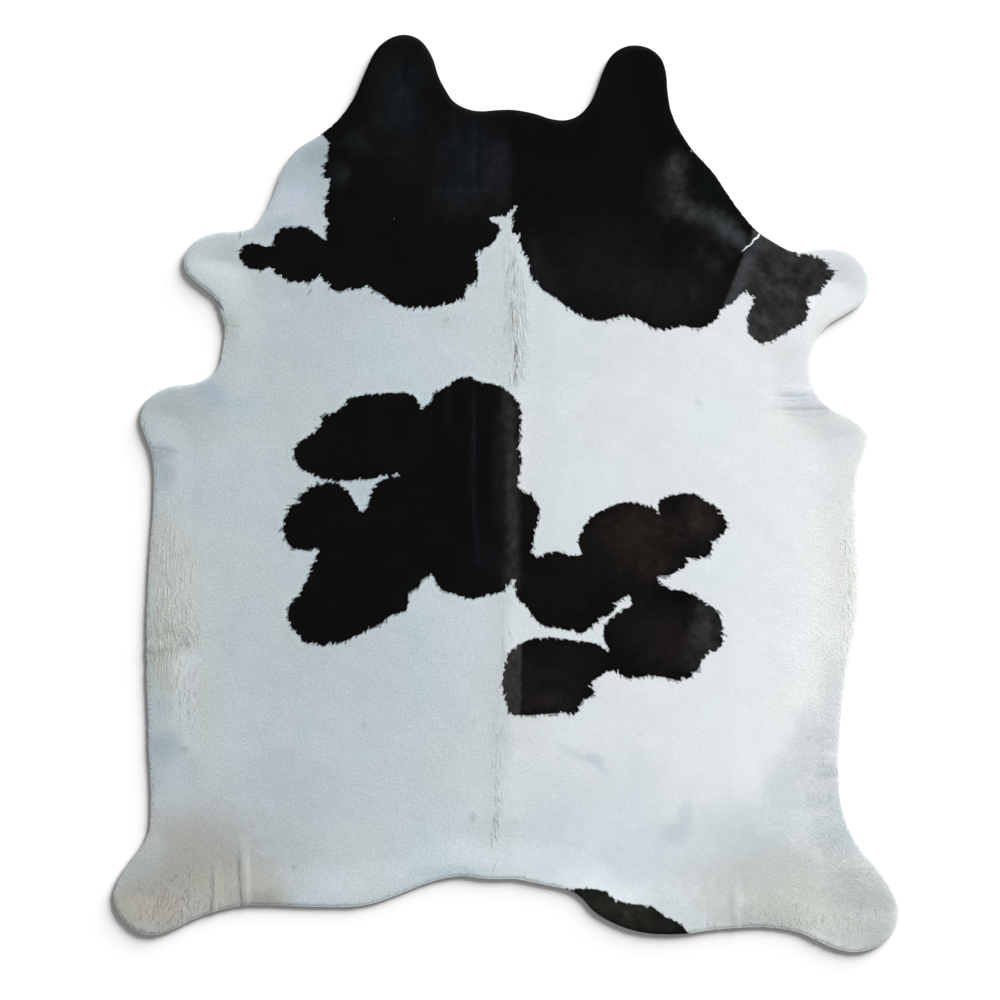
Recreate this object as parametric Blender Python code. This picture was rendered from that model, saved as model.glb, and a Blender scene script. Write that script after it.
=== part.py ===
"""Cowhide rug: one tanned, hair-on cow skin lying flat, modelled as one closed solid.

Metres, +Z up.  The neck points to +Y, the tail end to -Y.  The origin is on the
floor, under the middle of the hide's extents.
"""
import math

import bmesh
import bpy
from mathutils import Vector
from mathutils.geometry import delaunay_2d_cdt

# ---------------------------------------------------------------- driving dimensions (metres)
HIDE_LENGTH = 2.138          # ear flap to hind leg flap, along Y
SKIN = 0.0021                # tanned leather
HAIR = 0.0024                # flat-lying hair coat over it
THICK = SKIN + HAIR          # what a finger and thumb feel
EDGE_ROUND = 0.0026          # how far the hair rolls over the knife-cut edge
RIM_LIFT = 0.0036            # the cut edge stands this far off the floor all round
RIM_BAND = 0.100             # width of the band that lifts
EDGE_STEP = 0.024            # spacing of the edge's points on long, nearly straight runs
EDGE_STEP_TIGHT = 0.013      # and round the flap tips
TOP_STEP = 0.062             # spacing of the upper face's points
SOLE_STEP = 0.150            # spacing of the flat underside's points

# The knife-cut edge, clockwise from the left ear flap, in centimetres from the middle.
EDGE = [
    (-24.0, 106.9), (-21.4, 106.4), (-19.7, 105.3), (-18.4, 103.7), (-17.1, 101.3), (-15.8, 97.2),
    (-14.3, 94.3), (-12.2, 91.3), (-8.7, 89.5), (-5.8, 89.1), (-1.5, 89.4), (1.8, 89.4),
    (6.7, 88.5), (10.4, 87.3), (13.8, 87.0), (16.7, 88.0), (19.3, 90.6), (21.1, 94.3),
    (22.7, 98.8), (24.5, 102.0), (27.2, 103.9), (30.2, 104.4), (33.5, 103.6), (36.1, 101.3),
    (37.2, 98.1), (37.6, 93.5), (38.6, 88.3), (41.0, 83.5), (43.9, 79.4), (48.0, 75.0),
    (51.3, 70.1), (54.7, 65.3), (58.0, 61.5), (61.7, 58.9), (67.0, 56.3), (68.7, 56.8),
    (72.9, 57.6), (76.7, 57.5), (80.4, 56.1), (83.3, 53.3), (84.8, 50.0), (84.4, 46.7),
    (82.5, 44.0), (78.5, 41.4), (74.3, 38.6), (71.8, 34.8), (71.0, 29.5), (71.4, 25.8),
    (72.9, 22.8), (75.9, 20.2), (79.6, 18.6), (82.5, 16.5), (84.4, 13.6), (83.7, 10.2),
    (82.2, 6.1), (81.6, 1.9), (81.4, -1.6), (81.8, -9.0), (82.2, -19.4), (82.0, -26.1),
    (81.4, -31.3), (80.3, -36.6), (79.6, -40.3), (78.7, -46.1), (78.0, -52.2), (77.6, -59.7),
    (77.6, -65.5), (78.2, -71.6), (79.9, -77.4), (83.0, -82.7), (86.7, -87.1), (90.0, -91.9),
    (91.5, -96.0), (91.3, -99.8), (89.4, -103.5), (86.2, -105.8), (81.8, -106.9), (77.4, -106.3),
    (73.6, -104.8), (69.2, -102.7), (64.8, -101.6), (59.5, -101.1), (53.6, -101.3), (47.6, -101.8),
    (42.4, -102.6), (37.2, -102.8), (32.7, -102.5), (28.3, -101.5), (23.8, -99.6), (20.1, -97.2),
    (17.1, -93.8), (13.4, -92.1), (9.7, -91.4), (6.0, -90.6), (2.2, -89.9), (-1.5, -89.9),
    (-5.1, -89.8), (-10.3, -89.2), (-14.8, -89.8), (-19.9, -91.4), (-25.1, -93.5), (-30.4, -95.4),
    (-34.9, -96.3), (-40.8, -96.4), (-47.5, -96.3), (-54.9, -96.0), (-60.9, -96.0), (-66.1, -97.0),
    (-70.5, -98.3), (-75.0, -100.4), (-78.7, -102.1), (-82.4, -103.0), (-86.2, -102.1), (-89.4, -99.3),
    (-91.2, -96.0), (-91.5, -92.7), (-90.2, -89.3), (-87.7, -85.6), (-84.7, -81.6), (-83.1, -77.4),
    (-82.8, -71.6), (-83.0, -65.5), (-83.4, -59.7), (-83.5, -50.7), (-83.8, -43.2), (-83.8, -31.3),
    (-83.4, -20.2), (-83.0, -12.8), (-82.4, -5.3), (-82.2, -1.6), (-82.1, 5.0), (-82.8, 9.9),
    (-84.3, 13.6), (-85.4, 17.6), (-84.7, 20.6), (-81.7, 23.4), (-78.0, 25.0), (-73.6, 25.6),
    (-70.5, 26.5), (-68.3, 28.1), (-66.6, 31.1), (-65.9, 34.8), (-65.6, 38.6), (-66.4, 41.8),
    (-67.5, 45.1), (-70.5, 47.8), (-73.6, 50.4), (-75.0, 52.6), (-75.1, 55.2), (-73.6, 57.8),
    (-70.5, 59.9), (-66.8, 61.0), (-62.4, 61.2), (-58.7, 62.3), (-56.1, 65.6), (-54.5, 68.9),
    (-53.1, 73.1), (-51.2, 77.2), (-48.2, 80.6), (-43.0, 83.8), (-39.3, 86.9), (-35.6, 92.0),
    (-33.3, 97.2), (-30.7, 102.8), (-29.1, 104.7), (-26.8, 106.2),
]

# Flaps whose tips curl up off the floor: centre (cm), reach (cm), height (mm).
CURLS = [
    ((-25.0, 104.0), 13.0, 1.9),      # left ear
    ((30.0, 102.0), 13.0, 1.5),       # right ear
    ((-74.0, 54.0), 13.0, 1.9),       # left fore leg
    ((83.0, 50.0), 14.0, 1.3),        # right fore leg
    ((-84.0, 17.0), 12.0, 1.3),       # left elbow
    ((83.0, 14.0), 12.0, 1.0),        # right elbow
    ((-89.0, -97.0), 18.0, 2.0),      # left hind leg
    ((88.0, -100.0), 18.0, 1.7),      # right hind leg
    ((-83.8, -38.0), 22.0, 1.0),      # left belly edge
    ((33.0, -101.0), 18.0, 1.0),      # rump edge
]

# Soft folds that stay in the leather: start (cm), end (cm), height (mm), half width (mm).
FOLDS = [
    ((-61.9, -80.0), (-61.0, -96.0), 1.5, 16.0),     # hind leg, inner of two
    ((-67.7, -86.0), (-68.2, -97.6), 1.4, 14.0),     # hind leg, outer
    ((53.0, -89.0), (53.6, -101.3), 1.1, 16.0),      # right hind leg
    ((61.0, 20.5), (75.0, 20.6), 1.1, 20.0),         # arm pit
    ((63.0, 23.6), (72.0, 22.8), 0.9, 18.0),
    ((72.5, -62.0), (77.6, -63.0), 1.0, 24.0),       # flank pucker
    ((-75.5, -35.0), (-83.8, -36.5), 1.2, 20.0),     # belly whorl pucker
]

# The spine: a low ridge of thicker hair from the neck to the tail, (cm), and its size (mm).
SPINE = [(1.3, 64.0), (1.8, 40.0), (2.6, 18.0), (2.0, -2.0), (0.6, -24.0), (-1.0, -50.0), (-2.6, -80.0)]
SPINE_HEIGHT = 0.7
SPINE_HALF = 30.0


# ---------------------------------------------------------------- the edge as a smooth closed curve
def catmull(points, per=12):
    """Closed centripetal curve through the points, finely divided."""
    out = []
    n = len(points)
    for i in range(n):
        p0, p1, p2, p3 = (Vector(points[(i + k - 1) % n]) for k in range(4))
        t0 = 0.0
        t1 = t0 + math.sqrt((p1 - p0).length)
        t2 = t1 + math.sqrt((p2 - p1).length)
        t3 = t2 + math.sqrt((p3 - p2).length)
        for k in range(per):
            t = t1 + (t2 - t1) * k / per
            a1 = p0 * ((t1 - t) / (t1 - t0)) + p1 * ((t - t0) / (t1 - t0))
            a2 = p1 * ((t2 - t) / (t2 - t1)) + p2 * ((t - t1) / (t2 - t1))
            a3 = p2 * ((t3 - t) / (t3 - t2)) + p3 * ((t - t2) / (t3 - t2))
            b1 = a1 * ((t2 - t) / (t2 - t0)) + a2 * ((t - t0) / (t2 - t0))
            b2 = a2 * ((t3 - t) / (t3 - t1)) + a3 * ((t - t1) / (t3 - t1))
            out.append(b1 * ((t2 - t) / (t2 - t1)) + b2 * ((t - t1) / (t2 - t1)))
    return out


def centred(points):
    """In metres, at the hide's length, with the middle of the extents at the origin."""
    xs = [p.x for p in points]
    ys = [p.y for p in points]
    mid = Vector(((min(xs) + max(xs)) / 2, (min(ys) + max(ys)) / 2))
    scale = HIDE_LENGTH / (max(ys) - min(ys))
    return [(p - mid) * scale for p in points]


def resampled(points):
    """Points along the edge, closer together where it bends more."""
    n = len(points)
    want = []
    for i in range(n):
        a = points[i] - points[i - 6]
        b = points[(i + 6) % n] - points[i]
        bend = abs(a.angle_signed(b, 0.0)) / max(1e-6, (a.length + b.length) / 2)
        want.append(1.0 / min(EDGE_STEP, max(EDGE_STEP_TIGHT, 0.30 / max(bend, 1e-3))))
    seg = [(points[(i + 1) % n] - points[i]).length for i in range(n)]
    weight = [seg[i] * (want[i] + want[(i + 1) % n]) / 2 for i in range(n)]
    total = sum(weight)
    count = round(total)
    out = []
    i, acc = 0, 0.0
    for k in range(count):
        target = total * k / count
        while acc + weight[i] < target:
            acc += weight[i]
            i += 1
        f = (target - acc) / weight[i]
        out.append(points[i].lerp(points[(i + 1) % n], f))
    # the four extreme points are kept, so the hide has its full length and width
    for key in (lambda p: p.x, lambda p: -p.x, lambda p: p.y, lambda p: -p.y):
        far = max(points, key=key)
        near = min(range(len(out)), key=lambda k: (out[k] - far).length)
        out[near] = far
    return out


def inset(loop, by):
    """The clockwise loop moved inwards by a small distance."""
    n = len(loop)
    out = []
    for i in range(n):
        t = (loop[(i + 1) % n] - loop[i - 1]).normalized()
        out.append(loop[i] + Vector((t.y, -t.x)) * by)
    return out


def distance(p, loop):
    """How far a point lies from the loop."""
    best = 1e9
    n = len(loop)
    for i in range(n):
        a, b = loop[i], loop[(i + 1) % n]
        ab = b - a
        f = max(0.0, min(1.0, (p - a).dot(ab) / ab.length_squared))
        best = min(best, (a + ab * f - p).length_squared)
    return math.sqrt(best)


def inside(p, loop):
    odd = False
    n = len(loop)
    for i in range(n):
        a, b = loop[i], loop[(i + 1) % n]
        if (a.y > p.y) != (b.y > p.y) and p.x < (b.x - a.x) * (p.y - a.y) / (b.y - a.y) + a.x:
            odd = not odd
    return odd


# ---------------------------------------------------------------- how high the skin lies
def along(p, a, b):
    """Distance of p from the segment a-b, and how far along it (0 to 1)."""
    ab = b - a
    f = max(0.0, min(1.0, (p - a).dot(ab) / ab.length_squared))
    return (a + ab * f - p).length, f


def bump(x):
    """1 at 0, smoothly to 0 at 1."""
    x = min(1.0, abs(x))
    return (1 - x * x) ** 2


def lift(p, d):
    """Height of the skin's underside over the floor, at distance d from the edge."""
    s = max(0.0, 1.0 - d / RIM_BAND)
    rim = s * s * (3 - 2 * s)
    wave = 0.5 + 0.5 * math.sin(p.x * 9.0 + 2.0 * math.sin(p.y * 5.0)) * math.cos(p.y * 7.0 - p.x * 3.0)
    z = RIM_LIFT * (0.82 + 0.36 * wave) * rim
    s = max(0.0, 1.0 - d / (RIM_BAND * 1.25))
    near = s * s * (3 - 2 * s)
    for (cx, cy), reach, high in CURLS:
        c = Vector((cx, cy)) / 100
        z += high / 1000 * bump((p - c).length / (reach / 100 * 1.7)) * near
    for a, b, high, half in FOLDS:
        r, f = along(p, Vector(a) / 100, Vector(b) / 100)
        z += high / 1000 * bump(r / (half / 1000)) * min(1.0, f * 2.5)
    return z


def spine(p):
    pts = [Vector(q) / 100 for q in SPINE]
    r = min(along(p, pts[i], pts[i + 1])[0] for i in range(len(pts) - 1))
    return SPINE_HEIGHT / 1000 * bump(r / (SPINE_HALF / 1000))


# ---------------------------------------------------------------- points of the two faces
def rows(loop):
    """Points beside the folds, so that they keep their shape."""
    out = []
    for a, b, high, half in FOLDS:
        a, b = Vector(a) / 100, Vector(b) / 100
        t = (b - a).normalized()
        side = Vector((-t.y, t.x)) * (half / 1000)
        steps = max(2, round((b - a).length / 0.026))
        for k in range(steps + 1):
            q = a.lerp(b, k / steps)
            out += [q, q + side * 0.55, q - side * 0.55, q + side, q - side]
    return [p for p in out if inside(p, loop) and distance(p, loop) > 0.011]


def spine_rows():
    out = []
    pts = [Vector(q) / 100 for q in SPINE]
    for i in range(len(pts) - 1):
        steps = max(1, round((pts[i + 1] - pts[i]).length / 0.055))
        for k in range(steps):
            q = pts[i].lerp(pts[i + 1], k / steps)
            out += [q, q + Vector((0.030, 0)), q - Vector((0.030, 0))]
    return out


def honeycomb(loop, step, margin, taken, apart):
    """Evenly spread points inside the loop, clear of the points already there."""
    out = []
    row, y = 0, -HIDE_LENGTH / 2
    while y < HIDE_LENGTH / 2:
        x = -1.0 + (step / 2 if row % 2 else 0.0)
        while x < 1.0:
            p = Vector((x, y))
            if inside(p, loop) and distance(p, loop) > margin:
                if all((p - q).length > apart for q in taken):
                    out.append(p)
            x += step
        y += step * 0.866
        row += 1
    return out


def thinned(points, apart):
    out = []
    for p in points:
        if all((p - q).length > apart for q in out):
            out.append(p)
    return out


def face_mesh(loop, inner):
    """Triangles over the loop and the points inside it."""
    pts = list(loop) + list(inner)
    n = len(loop)
    edges = [(i, (i + 1) % n) for i in range(n)]
    verts, _, faces, origin, _, _ = delaunay_2d_cdt(pts, edges, [], 1, 1e-7)
    back = [o[0] for o in origin]
    tris = []
    for f in faces:
        a, b, c = (back[k] for k in f)
        pa, pb, pc = pts[a], pts[b], pts[c]
        area = (pb - pa).cross(pc - pa)
        tris.append((a, b, c) if area > 0 else (a, c, b))
    return pts, tris


def build_hide():
    edge = resampled(centred(catmull(EDGE)))
    n = len(edge)
    low = inset(edge, EDGE_ROUND * 0.35)
    high = inset(edge, EDGE_ROUND)

    band = [p for p in inset(edge, 0.030) if distance(p, edge) > 0.026]
    band += [p for p in inset(edge, 0.070)[::2] if inside(p, edge) and distance(p, edge) > 0.062]
    folds = rows(edge)
    shaped = thinned(folds + band, 0.0125)
    upper = thinned(shaped + spine_rows(), 0.0125)
    upper += honeycomb(edge, TOP_STEP, 0.105, upper, TOP_STEP * 0.55)
    lower = shaped + honeycomb(edge, SOLE_STEP, 0.110, shaped, SOLE_STEP * 0.45)

    top_pts, top_tris = face_mesh(high, upper)
    low_pts, low_tris = face_mesh(low, lower)

    bm = bmesh.new()

    def depth(p):
        return distance(p, edge)

    top = [bm.verts.new((p.x, p.y, lift(p, depth(p)) + THICK + spine(p)
                         - (0.0007 if k < n else 0.0))) for k, p in enumerate(top_pts)]
    sole = [bm.verts.new((p.x, p.y, lift(p, depth(p)))) for p in low_pts]
    waist = [bm.verts.new((p.x, p.y, lift(p, 0.0) + THICK * 0.45)) for p in edge]
    for a, b, c in top_tris:
        bm.faces.new((top[a], top[b], top[c]))
    for a, b, c in low_tris:
        bm.faces.new((sole[a], sole[c], sole[b]))
    for i in range(n):
        j = (i + 1) % n
        for upper_row, lower_row in ((top, waist), (waist, sole)):
            bm.faces.new((upper_row[i], upper_row[j], lower_row[j], lower_row[i]))
    bmesh.ops.triangulate(bm, faces=[f for f in bm.faces if len(f.verts) > 3])
    bmesh.ops.recalc_face_normals(bm, faces=bm.faces)
    bm.normal_update()
    if bm.calc_volume(signed=True) < 0:
        bmesh.ops.reverse_faces(bm, faces=bm.faces)
    low_z = min(v.co.z for v in bm.verts)
    for v in bm.verts:
        v.co.z -= low_z

    me = bpy.data.meshes.new("hide")
    bm.to_mesh(me)
    bm.free()
    me.shade_smooth()
    me.set_sharp_from_angle(angle=math.radians(40))
    ob = bpy.data.objects.new("hide", me)
    bpy.context.scene.collection.objects.link(ob)
    return ob


def hair_coat():
    """White and grey short hair over tanned leather."""
    mat = bpy.data.materials.new("hair_coat")
    mat.use_nodes = True
    bsdf = mat.node_tree.nodes["Principled BSDF"]
    bsdf.inputs["Base Color"].default_value = (0.62, 0.66, 0.67, 1.0)
    bsdf.inputs["Roughness"].default_value = 0.62
    bsdf.inputs["Metallic"].default_value = 0.0
    mat.diffuse_color = (0.62, 0.66, 0.67, 1.0)
    return mat


for old in list(bpy.data.objects):
    bpy.data.objects.remove(old, do_unlink=True)

hide = build_hide()
hide.data.materials.append(hair_coat())
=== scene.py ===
import math

import bpy
import numpy as np
from mathutils.geometry import delaunay_2d_cdt
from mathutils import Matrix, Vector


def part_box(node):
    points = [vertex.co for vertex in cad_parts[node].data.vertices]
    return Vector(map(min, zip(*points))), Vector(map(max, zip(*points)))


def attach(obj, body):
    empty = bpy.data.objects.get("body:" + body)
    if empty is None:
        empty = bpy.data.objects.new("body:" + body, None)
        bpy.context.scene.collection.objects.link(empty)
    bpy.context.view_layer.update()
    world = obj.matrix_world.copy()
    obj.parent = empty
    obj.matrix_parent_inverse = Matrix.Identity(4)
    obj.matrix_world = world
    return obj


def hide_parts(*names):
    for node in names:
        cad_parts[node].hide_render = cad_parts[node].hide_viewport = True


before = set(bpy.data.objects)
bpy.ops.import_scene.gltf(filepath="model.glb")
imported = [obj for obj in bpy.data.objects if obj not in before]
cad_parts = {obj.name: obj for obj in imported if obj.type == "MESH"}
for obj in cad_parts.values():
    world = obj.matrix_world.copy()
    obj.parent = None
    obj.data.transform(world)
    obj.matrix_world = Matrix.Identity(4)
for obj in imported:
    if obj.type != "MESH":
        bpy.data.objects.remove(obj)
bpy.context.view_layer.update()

# ================================================================ frame
LOW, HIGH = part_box("hide")
LENGTH = HIGH.y - LOW.y

# Sizes of the hide, the same as in the part (metres)
SKIN = 0.0021
HAIR = 0.0024
THICK = SKIN + HAIR
RIM_LIFT = 0.0036
RIM_BAND = 0.100

# The knife-cut edge, clockwise from the left ear flap, in centimetres from the middle.
EDGE = [
    (-24.0, 106.9), (-21.4, 106.4), (-19.7, 105.3), (-18.4, 103.7), (-17.1, 101.3), (-15.8, 97.2),
    (-14.3, 94.3), (-12.2, 91.3), (-8.7, 89.5), (-5.8, 89.1), (-1.5, 89.4), (1.8, 89.4),
    (6.7, 88.5), (10.4, 87.3), (13.8, 87.0), (16.7, 88.0), (19.3, 90.6), (21.1, 94.3),
    (22.7, 98.8), (24.5, 102.0), (27.2, 103.9), (30.2, 104.4), (33.5, 103.6), (36.1, 101.3),
    (37.2, 98.1), (37.6, 93.5), (38.6, 88.3), (41.0, 83.5), (43.9, 79.4), (48.0, 75.0),
    (51.3, 70.1), (54.7, 65.3), (58.0, 61.5), (61.7, 58.9), (67.0, 56.3), (68.7, 56.8),
    (72.9, 57.6), (76.7, 57.5), (80.4, 56.1), (83.3, 53.3), (84.8, 50.0), (84.4, 46.7),
    (82.5, 44.0), (78.5, 41.4), (74.3, 38.6), (71.8, 34.8), (71.0, 29.5), (71.4, 25.8),
    (72.9, 22.8), (75.9, 20.2), (79.6, 18.6), (82.5, 16.5), (84.4, 13.6), (83.7, 10.2),
    (82.2, 6.1), (81.6, 1.9), (81.4, -1.6), (81.8, -9.0), (82.2, -19.4), (82.0, -26.1),
    (81.4, -31.3), (80.3, -36.6), (79.6, -40.3), (78.7, -46.1), (78.0, -52.2), (77.6, -59.7),
    (77.6, -65.5), (78.2, -71.6), (79.9, -77.4), (83.0, -82.7), (86.7, -87.1), (90.0, -91.9),
    (91.5, -96.0), (91.3, -99.8), (89.4, -103.5), (86.2, -105.8), (81.8, -106.9), (77.4, -106.3),
    (73.6, -104.8), (69.2, -102.7), (64.8, -101.6), (59.5, -101.1), (53.6, -101.3), (47.6, -101.8),
    (42.4, -102.6), (37.2, -102.8), (32.7, -102.5), (28.3, -101.5), (23.8, -99.6), (20.1, -97.2),
    (17.1, -93.8), (13.4, -92.1), (9.7, -91.4), (6.0, -90.6), (2.2, -89.9), (-1.5, -89.9),
    (-5.1, -89.8), (-10.3, -89.2), (-14.8, -89.8), (-19.9, -91.4), (-25.1, -93.5), (-30.4, -95.4),
    (-34.9, -96.3), (-40.8, -96.4), (-47.5, -96.3), (-54.9, -96.0), (-60.9, -96.0), (-66.1, -97.0),
    (-70.5, -98.3), (-75.0, -100.4), (-78.7, -102.1), (-82.4, -103.0), (-86.2, -102.1), (-89.4, -99.3),
    (-91.2, -96.0), (-91.5, -92.7), (-90.2, -89.3), (-87.7, -85.6), (-84.7, -81.6), (-83.1, -77.4),
    (-82.8, -71.6), (-83.0, -65.5), (-83.4, -59.7), (-83.5, -50.7), (-83.8, -43.2), (-83.8, -31.3),
    (-83.4, -20.2), (-83.0, -12.8), (-82.4, -5.3), (-82.2, -1.6), (-82.1, 5.0), (-82.8, 9.9),
    (-84.3, 13.6), (-85.4, 17.6), (-84.7, 20.6), (-81.7, 23.4), (-78.0, 25.0), (-73.6, 25.6),
    (-70.5, 26.5), (-68.3, 28.1), (-66.6, 31.1), (-65.9, 34.8), (-65.6, 38.6), (-66.4, 41.8),
    (-67.5, 45.1), (-70.5, 47.8), (-73.6, 50.4), (-75.0, 52.6), (-75.1, 55.2), (-73.6, 57.8),
    (-70.5, 59.9), (-66.8, 61.0), (-62.4, 61.2), (-58.7, 62.3), (-56.1, 65.6), (-54.5, 68.9),
    (-53.1, 73.1), (-51.2, 77.2), (-48.2, 80.6), (-43.0, 83.8), (-39.3, 86.9), (-35.6, 92.0),
    (-33.3, 97.2), (-30.7, 102.8), (-29.1, 104.7), (-26.8, 106.2),
]

CURLS = [
    ((-25.0, 104.0), 13.0, 1.9), ((30.0, 102.0), 13.0, 1.5), ((-74.0, 54.0), 13.0, 1.9),
    ((83.0, 50.0), 14.0, 1.3), ((-84.0, 17.0), 12.0, 1.3), ((83.0, 14.0), 12.0, 1.0),
    ((-89.0, -97.0), 18.0, 2.0), ((88.0, -100.0), 18.0, 1.7), ((-83.8, -38.0), 22.0, 1.0),
    ((33.0, -101.0), 18.0, 1.0),
]
FOLDS = [
    ((-61.9, -80.0), (-61.0, -96.0), 1.5, 16.0), ((-67.7, -86.0), (-68.2, -97.6), 1.4, 14.0),
    ((53.0, -89.0), (53.6, -101.3), 1.1, 16.0), ((61.0, 20.5), (75.0, 20.6), 1.1, 20.0),
    ((63.0, 23.6), (72.0, 22.8), 0.9, 18.0), ((72.5, -62.0), (77.6, -63.0), 1.0, 24.0),
    ((-75.5, -35.0), (-83.8, -36.5), 1.2, 20.0),
]
SPINE = [(1.3, 64.0), (1.8, 40.0), (2.6, 18.0), (2.0, -2.0), (0.6, -24.0), (-1.0, -50.0), (-2.6, -80.0)]
SPINE_HEIGHT = 0.0007
SPINE_HALF = 0.030

# Small wrinkles that only the hair side shows: points (cm), height (mm, below 0 is a trough), half width (mm)
WRINKLES = [
    ([(-62.9, -83.0), (-62.6, -90.0), (-61.9, -96.0)], -1.7, 4.5),      # left hind leg, the sharp one
    ([(-60.9, -83.0), (-60.6, -90.0), (-60.0, -96.0)], 0.7, 7.0),
    ([(-69.0, -88.0), (-68.6, -94.0), (-69.2, -97.5)], -1.4, 5.0),
    ([(-66.9, -87.0), (-66.5, -92.0), (-66.6, -96.8)], 0.6, 7.0),
    ([(-75.6, -95.0), (-74.2, -98.0), (-73.4, -100.4)], -0.8, 5.0),
    ([(54.9, -88.6), (55.4, -94.0), (54.4, -100.9)], -0.7, 4.5),        # right hind leg
    ([(57.2, -90.0), (57.6, -95.0), (57.2, -101.0)], 0.35, 7.0),
    ([(46.8, -94.0), (46.4, -101.4)], -0.45, 5.0),
    ([(60.5, 22.4), (66.0, 22.0), (71.8, 22.5)], -0.55, 4.5),            # right arm pit
    ([(62.5, 19.4), (69.0, 18.9), (75.0, 19.2)], -0.35, 5.0),
    ([(53.0, 21.4), (60.0, 21.8)], -0.4, 5.0),
    ([(72.5, -62.6), (75.2, -62.4), (77.4, -62.8)], -0.45, 5.0),         # flank puckers
    ([(73.5, -66.4), (77.4, -66.9)], -0.35, 5.0),
    ([(73.4, -58.0), (77.3, -57.4)], -0.6, 5.0),
    ([(-68.6, 42.6), (-65.2, 43.6)], -0.9, 5.0),                        # nicks in the left arm pit
    ([(-66.4, 38.9), (-63.0, 38.4)], -0.7, 5.0),
    ([(-83.2, 10.2), (-79.0, 9.2), (-76.5, 8.8)], -0.9, 6.0),           # left elbow
    ([(-78.0, -35.3), (-74.4, -35.0)], -0.9, 6.0),                      # belly whorl
    ([(80.0, -88.3), (84.0, -88.0), (88.0, -88.6)], -0.5, 5.0),
    ([(-7.8, 22.0), (-7.4, 0.0), (-6.2, -20.0)], -0.35, 4.0),           # parting in the saddle patch
]

# The black markings (closed curves) and the white flecks in them, in centimetres.
NECK = [
    (-43.0, 83.8), (-41.4, 81.6), (-41.9, 78.0), (-42.6, 74.3), (-41.2, 72.4), (-42.1, 68.9), (-42.3, 64.5), (-41.6, 63.1),
    (-42.3, 60.5), (-41.9, 58.9), (-43.7, 60.0), (-46.1, 61.8), (-49.8, 62.4), (-52.7, 61.7), (-54.0, 60.0), (-54.5, 57.9),
    (-56.1, 57.5), (-58.7, 58.2), (-61.2, 57.7), (-62.5, 55.9), (-61.9, 54.1), (-60.1, 52.6), (-57.5, 51.9), (-54.9, 52.6),
    (-53.8, 51.2), (-51.2, 49.6), (-47.5, 49.1), (-44.9, 49.6), (-43.7, 50.9), (-42.6, 49.6), (-40.5, 47.5), (-36.3, 47.2),
    (-33.0, 48.0), (-28.8, 46.3), (-26.7, 44.4), (-22.3, 43.2), (-17.7, 43.3), (-14.1, 43.9), (-9.9, 45.6), (-8.7, 48.6),
    (-6.9, 49.6), (-6.7, 53.3), (-6.9, 55.9), (-4.6, 57.2), (-2.4, 59.3), (-1.5, 61.0), (-1.9, 62.6), (-4.2, 63.9),
    (-3.6, 64.4), (-0.6, 64.6), (0.8, 65.2), (2.2, 67.0), (1.4, 64.9), (1.1, 62.6), (1.2, 61.2), (2.6, 60.2),
    (3.1, 58.4), (4.6, 54.6), (6.2, 49.6), (8.7, 47.3), (11.5, 45.5), (14.4, 43.2), (16.9, 41.4), (20.9, 40.0), (26.0, 41.1), (30.5, 40.7), (34.0, 38.7), (37.0, 37.9), (41.0, 38.9),
    (45.4, 38.6), (49.1, 40.7), (49.8, 42.5), (53.6, 45.1), (55.4, 47.0), (57.6, 45.1), (56.5, 42.2), (56.1, 37.9),
    (58.2, 35.5), (60.6, 35.1), (65.5, 37.7), (69.2, 40.0), (70.5, 43.0), (69.8, 45.3), (72.9, 46.7), (75.1, 49.3),
    (76.8, 51.2), (75.0, 53.0), (73.6, 54.4), (70.6, 55.6), (67.7, 55.9), (68.5, 60.0), (69.9, 80.1), (45.2, 112.8),
    (12.5, 113.9), (-41.2, 113.9), (-48.2, 89.4),
]
SADDLE = [
    (-33.7, 22.9), (-28.8, 23.4), (-23.7, 23.4), (-21.1, 22.5), (-19.8, 20.2), (-18.1, 21.1), (-16.7, 23.2), (-14.1, 25.0),
    (-11.8, 26.5), (-8.7, 27.4), (-6.6, 26.4), (-1.5, 24.9), (0.7, 23.6), (2.9, 21.1), (3.6, 16.2), (2.9, 12.4),
    (3.6, 7.3), (2.8, 1.9), (6.0, -0.6), (7.5, -2.8), (7.9, -5.8), (6.7, -9.0), (6.3, -12.3), (5.2, -13.9),
    (1.8, -19.1), (-0.1, -22.1), (-1.5, -23.1), (-5.0, -24.2), (-8.0, -24.7), (-11.8, -23.7), (-15.5, -22.1), (-17.0, -19.4),
    (-17.7, -19.1), (-19.9, -21.3), (-22.5, -24.0), (-23.3, -27.2), (-26.7, -28.4), (-29.6, -30.5), (-34.9, -33.2), (-39.3, -35.0),
    (-43.0, -35.6), (-46.8, -35.0), (-48.9, -32.8), (-50.8, -29.5), (-50.5, -26.1), (-47.9, -22.8), (-46.4, -19.4), (-45.2, -16.5),
    (-43.7, -12.8), (-46.1, -13.2), (-49.3, -13.0), (-51.2, -11.2), (-52.1, -7.5), (-51.6, -4.6), (-48.9, -1.8), (-46.1, 1.2),
    (-41.6, 2.4), (-38.1, 1.7), (-36.4, -0.1), (-34.9, -2.8), (-33.7, -4.4), (-32.3, -3.1), (-31.6, 0.5), (-30.4, 2.4),
    (-25.1, 4.5), (-29.6, 3.6), (-34.9, 3.1), (-40.0, 2.9), (-44.5, 3.9), (-48.2, 6.1), (-49.6, 9.9), (-47.9, 12.1),
    (-43.4, 15.5), (-42.6, 18.0), (-39.3, 19.4), (-36.7, 22.1),
]
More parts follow.
